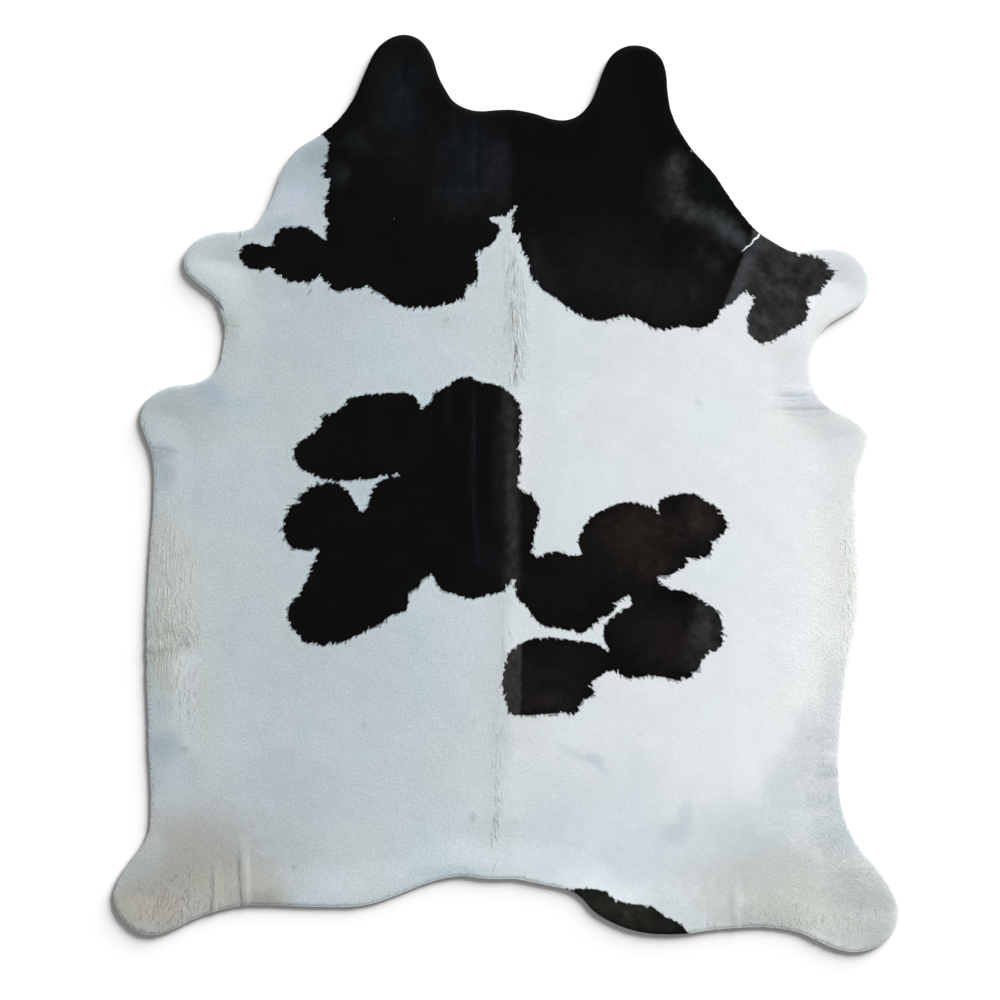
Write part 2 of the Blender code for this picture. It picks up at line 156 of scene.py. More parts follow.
FLANK = [
    (1.9, -20.9), (1.5, -19.4), (0.6, -17.0), (2.6, -13.4), (5.0, -13.6), (7.4, -14.6), (10.8, -13.5), (14.1, -14.2), (17.4, -14.4), (16.7, -11.2),
    (18.2, -7.5), (20.8, -4.8), (24.5, -3.0), (28.3, -2.0), (32.0, -2.5), (34.6, -3.4), (35.7, -4.8), (35.4, -2.3),
    (36.1, -1.3), (40.2, -0.2), (44.6, -0.2), (46.5, -1.6), (49.8, -3.8), (51.5, -7.5), (50.5, -9.7), (48.3, -11.2),
    (47.6, -13.8), (45.4, -15.3), (42.8, -15.1), (41.7, -17.2), (37.9, -19.1), (34.9, -19.3), (36.4, -20.9), (37.9, -22.3),
    (41.3, -22.8), (45.4, -24.7), (49.1, -27.6), (50.5, -32.1), (49.8, -36.1), (46.8, -37.7), (44.6, -41.0), (41.7, -43.6),
    (37.9, -43.2), (33.0, -42.5), (29.0, -43.2), (24.5, -41.4), (22.7, -42.2), (20.1, -44.0), (20.4, -46.6), (17.4, -48.8),
    (16.4, -51.4), (11.8, -51.3), (6.7, -51.7), (0.7, -51.3), (-0.3, -48.5), (-0.9, -44.0), (-0.3, -39.5), (1.5, -36.1),
    (5.2, -34.2), (10.4, -33.5), (15.5, -34.2), (20.8, -35.0), (23.5, -36.6), (22.7, -33.5), (22.9, -30.6), (24.6, -28.7),
    (26.3, -27.6), (26.7, -26.2), (25.0, -27.3), (23.2, -28.9), (20.8, -30.3), (17.9, -32.6), (15.3, -32.1), (9.9, -31.2), (7.8, -30.5), (6.2, -28.6), (4.5, -26.5),
    (2.2, -24.0),
]
RUMP = [
    (14.1, -92.1), (17.9, -92.1), (23.0, -92.7), (25.3, -94.6), (30.5, -95.8), (34.2, -96.4), (36.4, -98.3), (39.8, -99.8),
    (42.4, -102.6), (43.3, -106.5), (31.2, -109.3), (14.8, -104.2), (10.6, -96.0), (11.3, -93.0),
]
HOLE = [
    (26.3, -24.9), (27.4, -24.2), (28.6, -24.3), (29.3, -25.6), (28.8, -26.5), (27.4, -26.8), (25.8, -26.3), (25.1, -25.6),
]
SCAR = [(54.7, 56.3), (55.4, 56.8), (55.9, 57.5), (57.1, 57.9), (57.5, 59.1), (58.5, 59.6), (58.9, 60.5)]
RNG_SEED = 7

# ================================================================ small tools
def smooth_loop(points, per=5):
    """Closed centripetal curve through hand-set points."""
    p = np.array(points, float)
    p0, p1, p2, p3 = np.roll(p, 1, 0), p, np.roll(p, -1, 0), np.roll(p, -2, 0)
    t1 = np.sqrt(np.linalg.norm(p1 - p0, axis=1))[:, None]
    t2 = t1 + np.sqrt(np.linalg.norm(p2 - p1, axis=1))[:, None]
    t3 = t2 + np.sqrt(np.linalg.norm(p3 - p2, axis=1))[:, None]
    rows = []
    for k in range(per):
        t = t1 + (t2 - t1) * k / per
        a1 = p0 * (t1 - t) / t1 + p1 * t / t1
        a2 = p1 * (t2 - t) / (t2 - t1) + p2 * (t - t1) / (t2 - t1)
        a3 = p2 * (t3 - t) / (t3 - t2) + p3 * (t - t2) / (t3 - t2)
        b1 = a1 * (t2 - t) / t2 + a2 * t / t2
        b2 = a2 * (t3 - t) / (t3 - t1) + a3 * (t - t1) / (t3 - t1)
        rows.append(b1 * (t2 - t) / (t2 - t1) + b2 * (t - t1) / (t2 - t1))
    return np.stack(rows, 1).reshape(-1, 2)


def even_loop(loop, step):
    """The closed loop with evenly spaced points."""
    nxt = np.roll(loop, -1, 0)
    seg = np.linalg.norm(nxt - loop, axis=1)
    s = np.concatenate([[0.0], np.cumsum(seg)])
    n = int(round(s[-1] / step))
    at = np.linspace(0, s[-1], n, endpoint=False)
    full = np.vstack([loop, loop[:1]])
    return np.stack([np.interp(at, s, full[:, 0]), np.interp(at, s, full[:, 1])], 1)


def signed(P, loop):
    """Distance from each point to the closed loop, below 0 inside."""
    a = loop.astype(np.float32)
    b = np.roll(a, -1, 0)
    ab = b - a
    ll = (ab ** 2).sum(1)
    out = np.empty(len(P), np.float32)
    for i in range(0, len(P), 6000):
        q = P[i:i + 6000].astype(np.float32)
        dx = q[:, 0:1] - a[:, 0]
        dy = q[:, 1:2] - a[:, 1]
        f = ((dx * ab[:, 0] + dy * ab[:, 1]) / ll).clip(0, 1)
        d = ((dx - f * ab[:, 0]) ** 2 + (dy - f * ab[:, 1]) ** 2).min(1)
        over = (a[:, 1] > q[:, 1:2]) != (b[:, 1] > q[:, 1:2])
        with np.errstate(divide="ignore", invalid="ignore"):
            cut = ab[:, 0] * (q[:, 1:2] - a[:, 1]) / ab[:, 1] + a[:, 0]
        inside = (over & (q[:, 0:1] < cut)).sum(1) % 2 == 1
        out[i:i + 6000] = np.sqrt(d) * np.where(inside, -1, 1)
    return out.astype(float)


def from_lines(P, pts):
    """Distance from each point to an open line, and how far along it (0 to 1)."""
    pts = np.array(pts, float)
    best = np.full(len(P), 1e9)
    where = np.zeros(len(P))
    n = len(pts) - 1
    for i in range(n):
        a, ab = pts[i], pts[i + 1] - pts[i]
        f = (((P - a) @ ab) / (ab @ ab)).clip(0, 1)
        d = np.linalg.norm(P - a - f[:, None] * ab, axis=1)
        closer = d < best
        best = np.where(closer, d, best)
        where = np.where(closer, (i + f) / n, where)
    return best, where


def bump(x):
    x = np.minimum(1.0, np.abs(x))
    return (1 - x * x) ** 2


def step(a, b, x):
    t = ((x - a) / (b - a)).clip(0, 1)
    return t * t * (3 - 2 * t)


def hashed(ix, iy, seed):
    h = (ix.astype(np.int64) * 374761393 + iy.astype(np.int64) * 668265263 + seed * 974634777) & 0xFFFFFFFF
    h = ((h ^ (h >> 13)) * 1274126177) & 0xFFFFFFFF
    return ((h ^ (h >> 16)) & 0xFFFF) / 65535.0


def noise(P, size, seed):
    """Smooth value noise, 0 to 1, with lumps of about this size."""
    q = P / size
    i = np.floor(q)
    f = q - i
    f = f * f * (3 - 2 * f)
    ix, iy = i[:, 0].astype(np.int64), i[:, 1].astype(np.int64)
    a, b = hashed(ix, iy, seed), hashed(ix + 1, iy, seed)
    c, d = hashed(ix, iy + 1, seed), hashed(ix + 1, iy + 1, seed)
    return (a * (1 - f[:, 0]) + b * f[:, 0]) * (1 - f[:, 1]) + (c * (1 - f[:, 0]) + d * f[:, 0]) * f[:, 1]


def linear(c):
    c = np.asarray(c, float) / 255.0
    return np.where(c <= 0.04045, c / 12.92, ((c + 0.055) / 1.055) ** 2.4)


class Grid:
    """A field on an even grid, read back smoothly."""

    def __init__(self, low, high, pitch):
        self.low, self.pitch = np.array(low, float), pitch
        n = np.ceil((np.array(high) - self.low) / pitch).astype(int) + 1
        self.n = n
        X, Y = np.meshgrid(np.arange(n[0]), np.arange(n[1]), indexing="ij")
        self.P = self.low + np.stack([X.ravel(), Y.ravel()], 1) * pitch
        self.v = None

    def read(self, P):
        q = (P - self.low) / self.pitch
        i = np.floor(q).astype(int).clip(0, self.n - 2)
        f = (q - i).clip(0, 1)
        v = self.v
        a, b = v[i[:, 0], i[:, 1]], v[i[:, 0] + 1, i[:, 1]]
        c, d = v[i[:, 0], i[:, 1] + 1], v[i[:, 0] + 1, i[:, 1] + 1]
        return (a * (1 - f[:, 0]) + b * f[:, 0]) * (1 - f[:, 1]) + (c * (1 - f[:, 0]) + d * f[:, 0]) * f[:, 1]


# ================================================================ the outline and its distance
OUTLINE = smooth_loop(EDGE, 12)
_mid = (OUTLINE.min(0) + OUTLINE.max(0)) / 2
OUTLINE = (OUTLINE - _mid) * (LENGTH / np.ptp(OUTLINE[:, 1])) + np.array(
    [(LOW.x + HIGH.x) / 2, (LOW.y + HIGH.y) / 2])
RIM = even_loop(OUTLINE, 0.0070)
_t = np.roll(RIM, -1, 0) - np.roll(RIM, 1, 0)
_t /= np.linalg.norm(_t, axis=1)[:, None]
INWARD = np.stack([_t[:, 1], -_t[:, 0]], 1)          # the loop runs clockwise

EDGE_FIELD = Grid((-0.96, -1.11), (0.96, 1.11), 0.004)
EDGE_FIELD.v = -signed(EDGE_FIELD.P, even_loop(OUTLINE, 0.016)).reshape(EDGE_FIELD.n)


def depth(P):
    """How far inside the cut edge a point is, in metres."""
    return EDGE_FIELD.read(P)


# ================================================================ how high it lies
def lift(P, d):
    x, y = P[:, 0], P[:, 1]
    d = d.clip(0, None)
    rim = step(0, 1, 1.0 - d / RIM_BAND)
    wave = 0.5 + 0.5 * np.sin(x * 9.0 + 2.0 * np.sin(y * 5.0)) * np.cos(y * 7.0 - x * 3.0)
    z = RIM_LIFT * (0.82 + 0.36 * wave) * rim
    near = step(0, 1, 1.0 - d / (RIM_BAND * 1.25))
    for c, reach, high in CURLS:
        z += high / 1000 * bump(np.linalg.norm(P - np.array(c) / 100, axis=1) / (reach / 100 * 1.7)) * near
    for a, b, high, half in FOLDS:
        r, f = from_lines(P, np.array([a, b]) / 100)
        z += high / 1000 * bump(r / (half / 1000)) * np.minimum(1.0, f * 2.5)
    return z


def skin_top(P, d):
    return lift(P, d) + SKIN


def coat_top(P, d, roll=0.0012):
    """The surface of the lying hair, under the loose tips."""
    z = lift(P, d) + THICK - 0.0011
    r, _ = from_lines(P, np.array(SPINE) / 100)
    z += SPINE_HEIGHT * 0.45 * bump(r / SPINE_HALF)
    for pts, high, half in WRINKLES:
        r, f = from_lines(P, np.array(pts) / 100)
        z += high / 1000 * 0.8 * bump(r / (half / 1000)) * np.minimum(1.0, 0.25 + 3.0 * np.minimum(f, 1.2 - f))
    z += 0.00020 * (noise(P, 0.045, 3) - 0.5) + 0.00009 * (noise(P, 0.016, 4) - 0.5)
    e = (1 - d / 0.0035).clip(0, 1)
    return z - roll * e * e


# ================================================================ markings
def marking(points, pitch=0.003):
    loop = smooth_loop(np.array(points) / 100, 4)
    g = Grid(loop.min(0) - 0.05, loop.max(0) + 0.05, pitch)
    g.v = signed(g.P, loop).reshape(g.n)
    return g


MARKS = [marking(m) for m in (NECK, SADDLE, FLANK, RUMP)]
FLECK = marking(HOLE, 0.0015)


def mark_of(P, k):
    g = MARKS[k]
    top = g.low + (g.n - 1) * g.pitch
    within = ((P > g.low) & (P < top)).all(1)
    out = np.full(len(P), 0.06)
    out[within] = g.read(P[within])
    return out


def marks(P):
    """Distance to the nearest black marking (below 0 in it), and which one it is."""
    all4 = np.stack([mark_of(P, k) for k in range(4)], 1)
    which = all4.argmin(1)
    d = all4.min(1)
    top = FLECK.low + (FLECK.n - 1) * FLECK.pitch
    within = ((P > FLECK.low) & (P < top)).all(1)
    if within.any():
        d[within] = np.maximum(d[within], -FLECK.read(P[within]))
    return d, which


def toothed(P, w):
    """marks(), with the border broken into the pointed teeth that lying hair makes of it, leaning with the hair w."""
    m, which = marks(P)
    near = np.abs(m) < 0.018
    q, f = P[near], w[near]
    e = 0.0012
    g = np.stack([marks(q + (e, 0))[0] - marks(q - (e, 0))[0], marks(q + (0, e))[0] - marks(q - (0, e))[0]], 1)
    g /= np.linalg.norm(g, axis=1)[:, None].clip(1e-9, None)
    s = (g * f).sum(1)
    lean = g * 0.85 + f * (2 * step(-0.5, 0.1, s) - 1)[:, None]
    lean /= np.linalg.norm(lean, axis=1)[:, None]
    foot = q - lean * (m[near] / (lean * g).sum(1).clip(0.35, None))[:, None]
    size = 0.0175 * (noise(foot, 0.0052, 63) ** 1.25 - 0.42) + 0.0085 * (noise(foot, 0.0031, 64) - 0.5)
    size += 0.0030 * (noise(foot, 0.017, 66) - 0.5)
    m[near] -= size * (0.56 + 0.34 * step(-0.8, 0.3, s))
    return m, which


# ================================================================ which way the hair lies
def flow(P):
    """Unit direction of the hair: back from the neck and out from the spine."""
    sx, sy = np.array(SPINE)[::-1, 0] / 100, np.array(SPINE)[::-1, 1] / 100
    x = P[:, 0] - np.interp(P[:, 1], sy, sx)
    ax = np.abs(x)
    out = 0.85 * step(0.0, 0.09, ax) * (1 - 0.85 * step(0.45, 0.78, ax))
    out *= 1 - 0.55 * step(-0.55, -0.95, P[:, 1])
    arm = bump((P[:, 1] - 0.50) / 0.16) * step(0.55, 0.75, ax)
    out += 1.2 * arm
    back = 1.0 - 0.30 * step(0.05, 0.4, ax)
    vx, vy = out * np.sign(x), -back
    ang = (noise(P, 0.19, 11) - 0.5) * 0.50 + (noise(P, 0.060, 12) - 0.5) * 0.22
    # the whorl on the left belly edge, and the cowlick by its side
    for cx, cy, rad, turn in ((-0.745, -0.350, 0.060, 0.8), (-0.735, -0.600, 0.05, -0.5), (0.735, -0.58, 0.05, 0.5)):
        r = np.hypot(P[:, 0] - cx, P[:, 1] - cy)
        ang += turn * np.exp(-(r / rad) ** 2) * np.sin(np.arctan2(P[:, 1] - cy, P[:, 0] - cx))
    c, s = np.cos(ang), np.sin(ang)
    v = np.stack([vx * c - vy * s, vx * s + vy * c], 1)
    return v / np.linalg.norm(v, axis=1)[:, None]


def combed(P, v, size, reach, seed, taps=6):
    """Noise drawn out along the hair: the same over a length of it, quick to change across it. About -1 to 1."""
    s = np.zeros(len(P))
    for k in range(taps):
        s += noise(P + v * ((k / (taps - 1) - 0.5) * reach), size, seed + k // taps)
    return (s / taps - 0.5) / 0.24


# ================================================================ colours of the white hair
# tone across the hide with painted shade: darker and bluer left of the spine, lighter right of it, as the hair lies
# away from the spine to either side; from the left belly edge to the right one (x in cm, colour)
TONE_AND_PAINTED_SHADE_ACROSS = [
    (-84, (176, 185, 188)), (-72, (186, 196, 200)), (-48, (184, 195, 200)), (-20, (191, 203, 208)),
    (-6, (199, 208, 212)), (0.2, (204, 212, 215)), (2.0, (216, 223, 225)), (14, (223, 231, 234)),
    (33, (230, 236, 239)), (55, (236, 242, 244)), (68, (239, 244, 246)), (78, (242, 246, 246)),
    (84, (241, 245, 244)),
]

# soft stains and tinted areas: centre (cm), half length and half width (cm), turn (degrees), colour, strength
STAINS = [
    ((-70.0, 24.2), 3.6, 2.0, 5, (166, 179, 192), 0.6), ((-67.5, 21.5), 3.0, 3.0, 0, (167, 185, 199), 0.5),
    ((-61.5, 20.0), 5.0, 3.5, 30, (178, 193, 203), 0.5), ((-73.0, 16.0), 8.0, 6.0, 0, (180, 190, 193), 0.6),
    ((-80.5, 9.6), 3.2, 2.0, 0, (149, 158, 165), 0.65), ((-79.5, 4.5), 3.0, 4.5, 0, (152, 165, 172), 0.6),
    ((-76.0, -2.0), 6.0, 5.0, 0, (179, 188, 193), 0.4), ((-79.5, -59.5), 4.0, 4.5, 0, (152, 167, 177), 0.7),
    ((-80.5, -66.0), 2.5, 5.0, 0, (166, 179, 186), 0.6), ((-76.0, -66.0), 5.0, 6.0, 0, (179, 188, 196), 0.5),
    ((-80.0, -49.5), 2.4, 2.6, 0, (163, 176, 195), 0.5), ((-46.0, 74.5), 6.0, 10.0, -28, (166, 181, 190), 0.75),
    ((-50.0, 67.5), 6.5, 4.5, 30, (189, 198, 209), 0.6), ((-53.0, 62.5), 4.0, 2.0, 20, (161, 175, 185), 0.5),
    ((-44.0, 79.5), 4.0, 3.0, 30, (153, 168, 176), 0.5), ((-64.0, 38.0), 2.2, 4.0, 0, (166, 173, 170), 0.6),
    ((-64.5, 58.0), 1.4, 2.6, 0, (181, 193, 199), 0.5), ((-66.0, 56.0), 10.0, 5.0, 0, (196, 206, 208), 0.7),
    ((-55.0, 49.0), 9.0, 4.0, 0, (182, 188, 192), 0.4), ((20.5, -62.0), 2.6, 1.3, -22, (180, 195, 211), 0.55),
    ((22.8, -64.6), 2.0, 1.0, -40, (184, 197, 208), 0.45), ((15.5, -60.6), 4.5, 1.0, -30, (192, 202, 213), 0.4),
    ((39.5, -79.3), 3.4, 2.6, 0, (175, 191, 203), 0.65), ((41.5, -75.0), 2.0, 3.0, 0, (195, 206, 215), 0.5),
    ((75.2, -65.4), 3.0, 1.3, 0, (182, 196, 209), 0.6), ((72.0, -71.5), 4.0, 2.0, 20, (199, 208, 215), 0.4),
    ((71.0, -61.0), 6.0, 10.0, 0, (205, 212, 217), 0.6), ((69.5, 22.6), 5.0, 1.8, 0, (219, 227, 240), 0.6),
    ((72.0, 20.6), 5.0, 2.6, 0, (226, 232, 243), 0.6), ((44.8, 21.2), 1.3, 0.7, -30, (208, 217, 221), 0.5),
    ((82.0, -88.4), 6.0, 1.0, 5, (197, 207, 212), 0.5), ((78.0, -81.0), 8.0, 4.0, -20, (198, 208, 215), 0.5),
    ((-12.5, -88.0), 9.0, 1.6, 0, (165, 186, 196), 0.5), ((-25.0, -66.0), 16.0, 22.0, 0, (190, 201, 205), 0.35),
    ((-72.0, -85.0), 14.0, 12.0, 0, (159, 158, 150), 0.75), ((-79.0, -94.5), 13.0, 9.0, 15, (162, 162, 156), 0.85),
    ((-62.0, -92.0), 13.0, 7.0, 0, (165, 164, 156), 0.75), ((-80.5, -97.0), 6.0, 5.0, 0, (169, 163, 156), 0.55),
    ((-84.5, -86.5), 4.0, 4.5, 0, (174, 180, 179), 0.5), ((-52.0, -84.0), 8.0, 9.0, 40, (171, 175, 176), 0.45),
    ((-68.0, -78.0), 10.0, 5.0, 0, (169, 171, 169), 0.5), ((-58.0, -70.0), 22.0, 9.0, 0, (179, 184, 190), 0.45),
    ((64.0, -90.0), 18.0, 10.0, 0, (197, 200, 196), 0.75), ((72.0, -98.0), 14.0, 6.0, -8, (185, 190, 184), 0.7),
    ((54.0, -84.0), 10.0, 7.0, 0, (200, 209, 210), 0.6), ((86.0, -98.0), 6.0, 7.0, 0, (190, 198, 196), 0.55),
    ((58.0, -78.0), 22.0, 8.0, 0, (200, 209, 213), 0.5), ((36.0, -86.0), 22.0, 8.0, 0, (201, 210, 218), 0.5),
    ((8.0, -80.0), 10.0, 14.0, 0, (201, 212, 218), 0.6), ((22.0, -72.0), 16.0, 12.0, 0, (211, 218, 225), 0.5),
    ((-79.0, -16.0), 5.5, 13.0, 0, (182, 186, 182), 0.75), ((-79.5, -36.0), 4.5, 13.0, 0, (166, 172, 163), 0.7),
    ((-74.0, -30.0), 6.0, 22.0, 0, (195, 201, 200), 0.75), ((-70.5, -50.0), 4.0, 14.0, 0, (189, 194, 192), 0.55),
    ((-78.0, -34.0), 3.2, 4.0, 0, (159, 162, 152), 0.5), ((-75.2, -35.6), 1.3, 1.2, 0, (139, 144, 145), 0.6),
    ((-75.0, -59.6), 1.2, 0.9, 0, (146, 153, 156), 0.5), ((79.5, -20.0), 4.0, 22.0, 0, (241, 244, 240), 0.7),
    ((76.5, -52.0), 3.4, 15.0, 0, (212, 219, 221), 0.6), ((74.0, 30.0), 2.4, 12.0, 0, (218, 222, 216), 0.5),
    ((78.0, 12.0), 5.0, 5.0, 0, (223, 227, 232), 0.4), ((79.0, 50.0), 6.0, 7.0, 0, (231, 239, 244), 0.5),
    ((62.0, 33.0), 8.0, 3.0, 0, (228, 233, 233), 0.4), ((2.2, 43.0), 2.8, 24.0, 2, (202, 211, 212), 0.7),
    ((-5.0, 37.0), 3.6, 14.0, 0, (202, 208, 213), 0.5), ((8.5, 33.0), 3.0, 14.0, 0, (213, 222, 223), 0.5),
    ((0.0, -78.0), 1.6, 12.0, 0, (203, 211, 216), 0.4),
    ((42.0, -98.5), 15.0, 5.0, -2, (191, 199, 201), 0.7), ((60.0, -99.0), 10.0, 4.5, 3, (178, 182, 179), 0.7),
    ((50.0, -95.0), 5.0, 4.0, 0, (188, 194, 194), 0.5), ((78.5, -94.0), 4.5, 5.0, 0, (182, 187, 187), 0.55),
    ((64.5, -69.0), 5.0, 8.0, 0, (204, 212, 217), 0.6), ((76.8, -70.5), 3.4, 5.0, 0, (203, 211, 217), 0.55),
    ((2.5, -71.5), 9.0, 5.0, 0, (218, 227, 230), 0.4),
    ((46.0, -83.0), 9.0, 7.0, 0, (221, 229, 234), 0.45),
    ((-88.0, -97.0), 4.0, 6.0, 0, (163, 159, 148), 0.6), ((-56.5, -95.6), 5.0, 3.5, 0, (152, 152, 145), 0.7),
    ((-82.5, -82.5), 3.0, 3.6, 0, (183, 190, 191), 0.45), ((-74.5, -40.0), 3.5, 14.0, 0, (201, 208, 212), 0.45),
    ((-62.0, 33.0), 4.0, 3.0, 0, (176, 183, 184), 0.5), ((-61.0, 42.0), 4.0, 5.0, 0, (180, 184, 184), 0.4),
    ((82.0, -103.0), 9.0, 4.5, -6, (180, 186, 182), 0.75), ((79.5, -74.0), 4.0, 9.0, -10, (204, 212, 217), 0.6),
    ((87.0, -93.0), 4.5, 7.0, 20, (196, 204, 203), 0.5), ((5.0, -86.0), 14.0, 3.0, 0, (199, 210, 216), 0.5),
    ((62.0, -91.5), 22.0, 9.0, -4, (200, 203, 197), 0.45), ((56.0, -81.0), 10.0, 5.0, 0, (210, 218, 222), 0.2),
]

# small flecks of darker hair: centre (cm), size (cm), colour, strength
TICKS = [
    ((-45.8, 47.0), 0.35, (128, 138, 142), 0.8), ((-46.1, 46.4), 0.25, (120, 130, 134), 0.7),
    ((-13.9, 40.4), 0.7, (172, 182, 186), 0.6), ((-33.0, -54.1), 0.6, (170, 181, 186), 0.6),
    ((-7.3, -52.9), 0.7, (182, 194, 198), 0.6), ((-7.6, -75.8), 0.8, (172, 183, 188), 0.6),
    ((-49.6, -87.1), 0.45, (136, 142, 142), 0.8), ((44.6, 21.2), 0.4, (208, 216, 219), 0.4),
    ((79.8, -23.3), 0.5, (212, 217, 214), 0.6), ((70.6, -56.9), 0.4, (186, 188, 186), 0.6),
    ((75.2, -70.4), 0.5, (186, 195, 202), 0.5), ((-26.0, -63.4), 0.4, (180, 190, 196), 0.5),
    ((12.0, -62.0), 0.4, (194, 202, 208), 0.5), ((31.0, -56.0), 0.5, (206, 214, 220), 0.5),
    ((-68.0, 33.0), 0.4, (150, 158, 160), 0.4), ((24.6, 22.4), 0.5, (205, 212, 216), 0.5),
    ((-58.6, -44.8), 0.4, (170, 180, 186), 0.4), ((45.0, -60.4), 0.4, (206, 213, 219), 0.5),
]

# painted sheen and tones inside the black hair: paler grey where the hair catches the light, and the hair's own brown;
# centre (cm), half sizes (cm), turn, colour, strength
SHEEN_AND_TONE_SPOTS = [
    ((7.0, 54.0), 1.8, 6.0, 8, (35, 34, 38), 0.75), ((10.2, 49.8), 2.2, 4.0, 20, (35, 35, 36), 0.6),
    ((22.0, 52.0), 16.0, 12.0, 0, (27, 26, 30), 0.75), ((38.0, 45.0), 11.0, 6.5, 0, (31, 30, 30), 0.75),
    ((30.0, 88.0), 7.0, 14.0, 0, (17, 17, 21), 0.6), ((47.5, 70.8), 5.5, 7.0, 42, (17, 22, 21), 0.8),
    ((45.5, 52.0), 5.0, 6.0, 0, (27, 27, 27), 0.6), ((48.7, 53.3), 1.8, 2.4, 0, (42, 42, 42), 0.7),
    ((51.5, 56.6), 1.4, 2.6, 30, (34, 34, 35), 0.7), ((45.2, 56.8), 1.5, 2.0, -30, (33, 33, 33), 0.6),
    ((43.2, 47.0), 1.8, 2.2, 10, (36, 36, 37), 0.6), ((32.0, 47.6), 2.2, 1.6, 0, (31, 31, 32), 0.6),
    # the painted sheen sweep above the right shoulder
    ((38.0, 71.5), 4.6, 7.0, -8, (33, 33, 34), 0.8), ((39.4, 75.6), 2.2, 3.6, -10, (56, 56, 56), 0.95),
    ((41.4, 77.0), 1.4, 1.4, 0, (42, 42, 43), 0.6), ((39.9, 70.4), 1.9, 4.0, -8, (50, 51, 51), 0.8),
    ((39.0, 66.6), 3.6, 2.0, 8, (40, 40, 40), 0.8), ((47.0, 63.6), 8.0, 3.4, -26, (38, 40, 40), 0.8),
    ((42.8, 66.0), 3.4, 2.0, -35, (52, 55, 55), 0.8), ((47.4, 64.6), 4.4, 1.8, -20, (52, 56, 55), 0.8),
    ((51.9, 61.4), 3.6, 2.1, -42, (66, 70, 73), 0.95), ((54.8, 58.6), 2.6, 2.0, -42, (62, 66, 69), 0.9),
    # the saddle: a painted pale sheen stripe on the back line, and fine combed lines
    ((1.2, 3.0), 1.9, 24.0, 1, (48, 48, 49), 1.0), ((1.0, -17.6), 2.2, 4.2, 0, (48, 47, 50), 0.85),
    ((1.6, -11.0), 1.2, 3.0, 0, (50, 50, 50), 0.7), ((0.3, 20.0), 1.3, 4.6, 0, (44, 44, 45), 0.8),
    ((-1.6, 8.0), 1.4, 16.0, 0, (29, 29, 30), 0.7), ((-7.6, 12.0), 0.45, 13.0, 0, (29, 29, 37), 0.8),
    ((-7.0, -10.0), 0.40, 12.0, 5, (27, 27, 35), 0.8), ((-13.5, 20.0), 0.7, 6.0, 0, (25, 25, 29), 0.5),
    ((-4.0, -14.0), 4.0, 8.0, 0, (21, 20, 25), 0.6), ((5.6, -6.6), 2.0, 6.0, 0, (21, 21, 21), 0.6),
    # the flank: brown-black, grey at the belly end
    ((25.0, -12.0), 11.0, 10.0, 0, (30, 28, 25), 0.8), ((32.0, -8.0), 8.0, 5.0, 0, (42, 34, 31), 0.85),
    ((45.0, -6.0), 5.0, 5.5, 0, (46, 41, 38), 0.85), ((33.5, -16.0), 6.0, 4.5, 0, (38, 33, 30), 0.8),
    ((31.0, -31.0), 7.0, 8.0, 0, (27, 26, 26), 0.8), ((38.5, -35.0), 6.0, 7.0, 0, (35, 31, 29), 0.8),
    ((46.6, -31.6), 3.4, 8.0, 0, (58, 60, 62), 0.9), ((43.2, -38.6), 3.0, 3.0, 0, (42, 42, 42), 0.6),
    ((12.0, -23.0), 9.0, 7.0, 0, (23, 23, 23), 0.7), ((14.0, -42.0), 8.0, 8.0, 0, (28, 26, 26), 0.8),
    ((5.5, -43.0), 3.0, 7.0, 0, (29, 26, 27), 0.8),
    ((9.0, -48.4), 7.0, 2.6, 0, (35, 31, 32), 0.8), ((27.0, -97.5), 15.0, 7.0, -10, (38, 41, 36), 0.9),
    ((-42.0, 9.0), 8.0, 6.0, 0, (15, 17, 16), 0.5),
]

# painted sheen on the left half of the neck, where the hair lies the other way from the right half; it ends hard at the
# back line
LEFT_NECK_SHEEN = [
    ((-24.0, 92.0), 6.5, 13.0, 0, (24, 29, 32), 0.8), ((-34.2, 81.0), 3.0, 2.4, 0, (25, 30, 29), 0.7),
    ((-39.0, 74.0), 2.4, 3.4, 0, (27, 31, 31), 0.7), ((-37.6, 74.4), 1.0, 1.6, -30, (34, 37, 37), 0.6),
    ((-9.0, 80.0), 9.0, 9.0, 0, (23, 27, 31), 0.85), ((-10.0, 70.5), 8.0, 5.0, 30, (25, 29, 32), 0.8),
    ((-1.0, 74.0), 3.0, 9.0, 0, (29, 30, 34), 0.8), ((-4.5, 66.4), 4.0, 2.0, 0, (22, 22, 25), 0.6),
    ((-7.2, 80.0), 0.5, 8.0, 0, (31, 36, 38), 0.6), ((-12.0, 84.0), 0.6, 5.0, 0, (27, 32, 34), 0.6),
    ((-4.0, 84.0), 0.4, 5.0, 0, (17, 19, 21), 0.6), ((-8.0, 70.6), 8.0, 0.5, 0, (32, 37, 38), 0.6),
    ((-36.0, 83.0), 4.0, 1.5, 30, (28, 34, 34), 0.5), ((-27.0, 87.0), 5.0, 2.5, 20, (27, 32, 33), 0.5),
]


def spots(P, base, rows, grain=0.35, inner=0.35, outer=1.45):
    for c, rx, ry, turn, colour, strength in rows:
        a = math.radians(turn)
        reach = 1.15 * (outer + grain) * max(rx, ry) / 100
        near = (np.abs(P - np.array(c) / 100) < reach).all(1)
        if strength <= 0 or not near.any():
            continue
        q = (P[near] - np.array(c) / 100) * 100
        u = (q[:, 0] * math.cos(a) + q[:, 1] * math.sin(a)) / rx
        v = (-q[:, 0] * math.sin(a) + q[:, 1] * math.cos(a)) / ry
        r = np.sqrt(u * u + v * v) + grain * (noise(P[near], 0.022, 21) - 0.5) + grain * (noise(P[near], 0.009, 22) - 0.5)
        w = (strength * (1 - step(inner, outer, r)))[:, None]
        base[near] = base[near] * (1 - w) + np.array(colour, float) * w
    return base


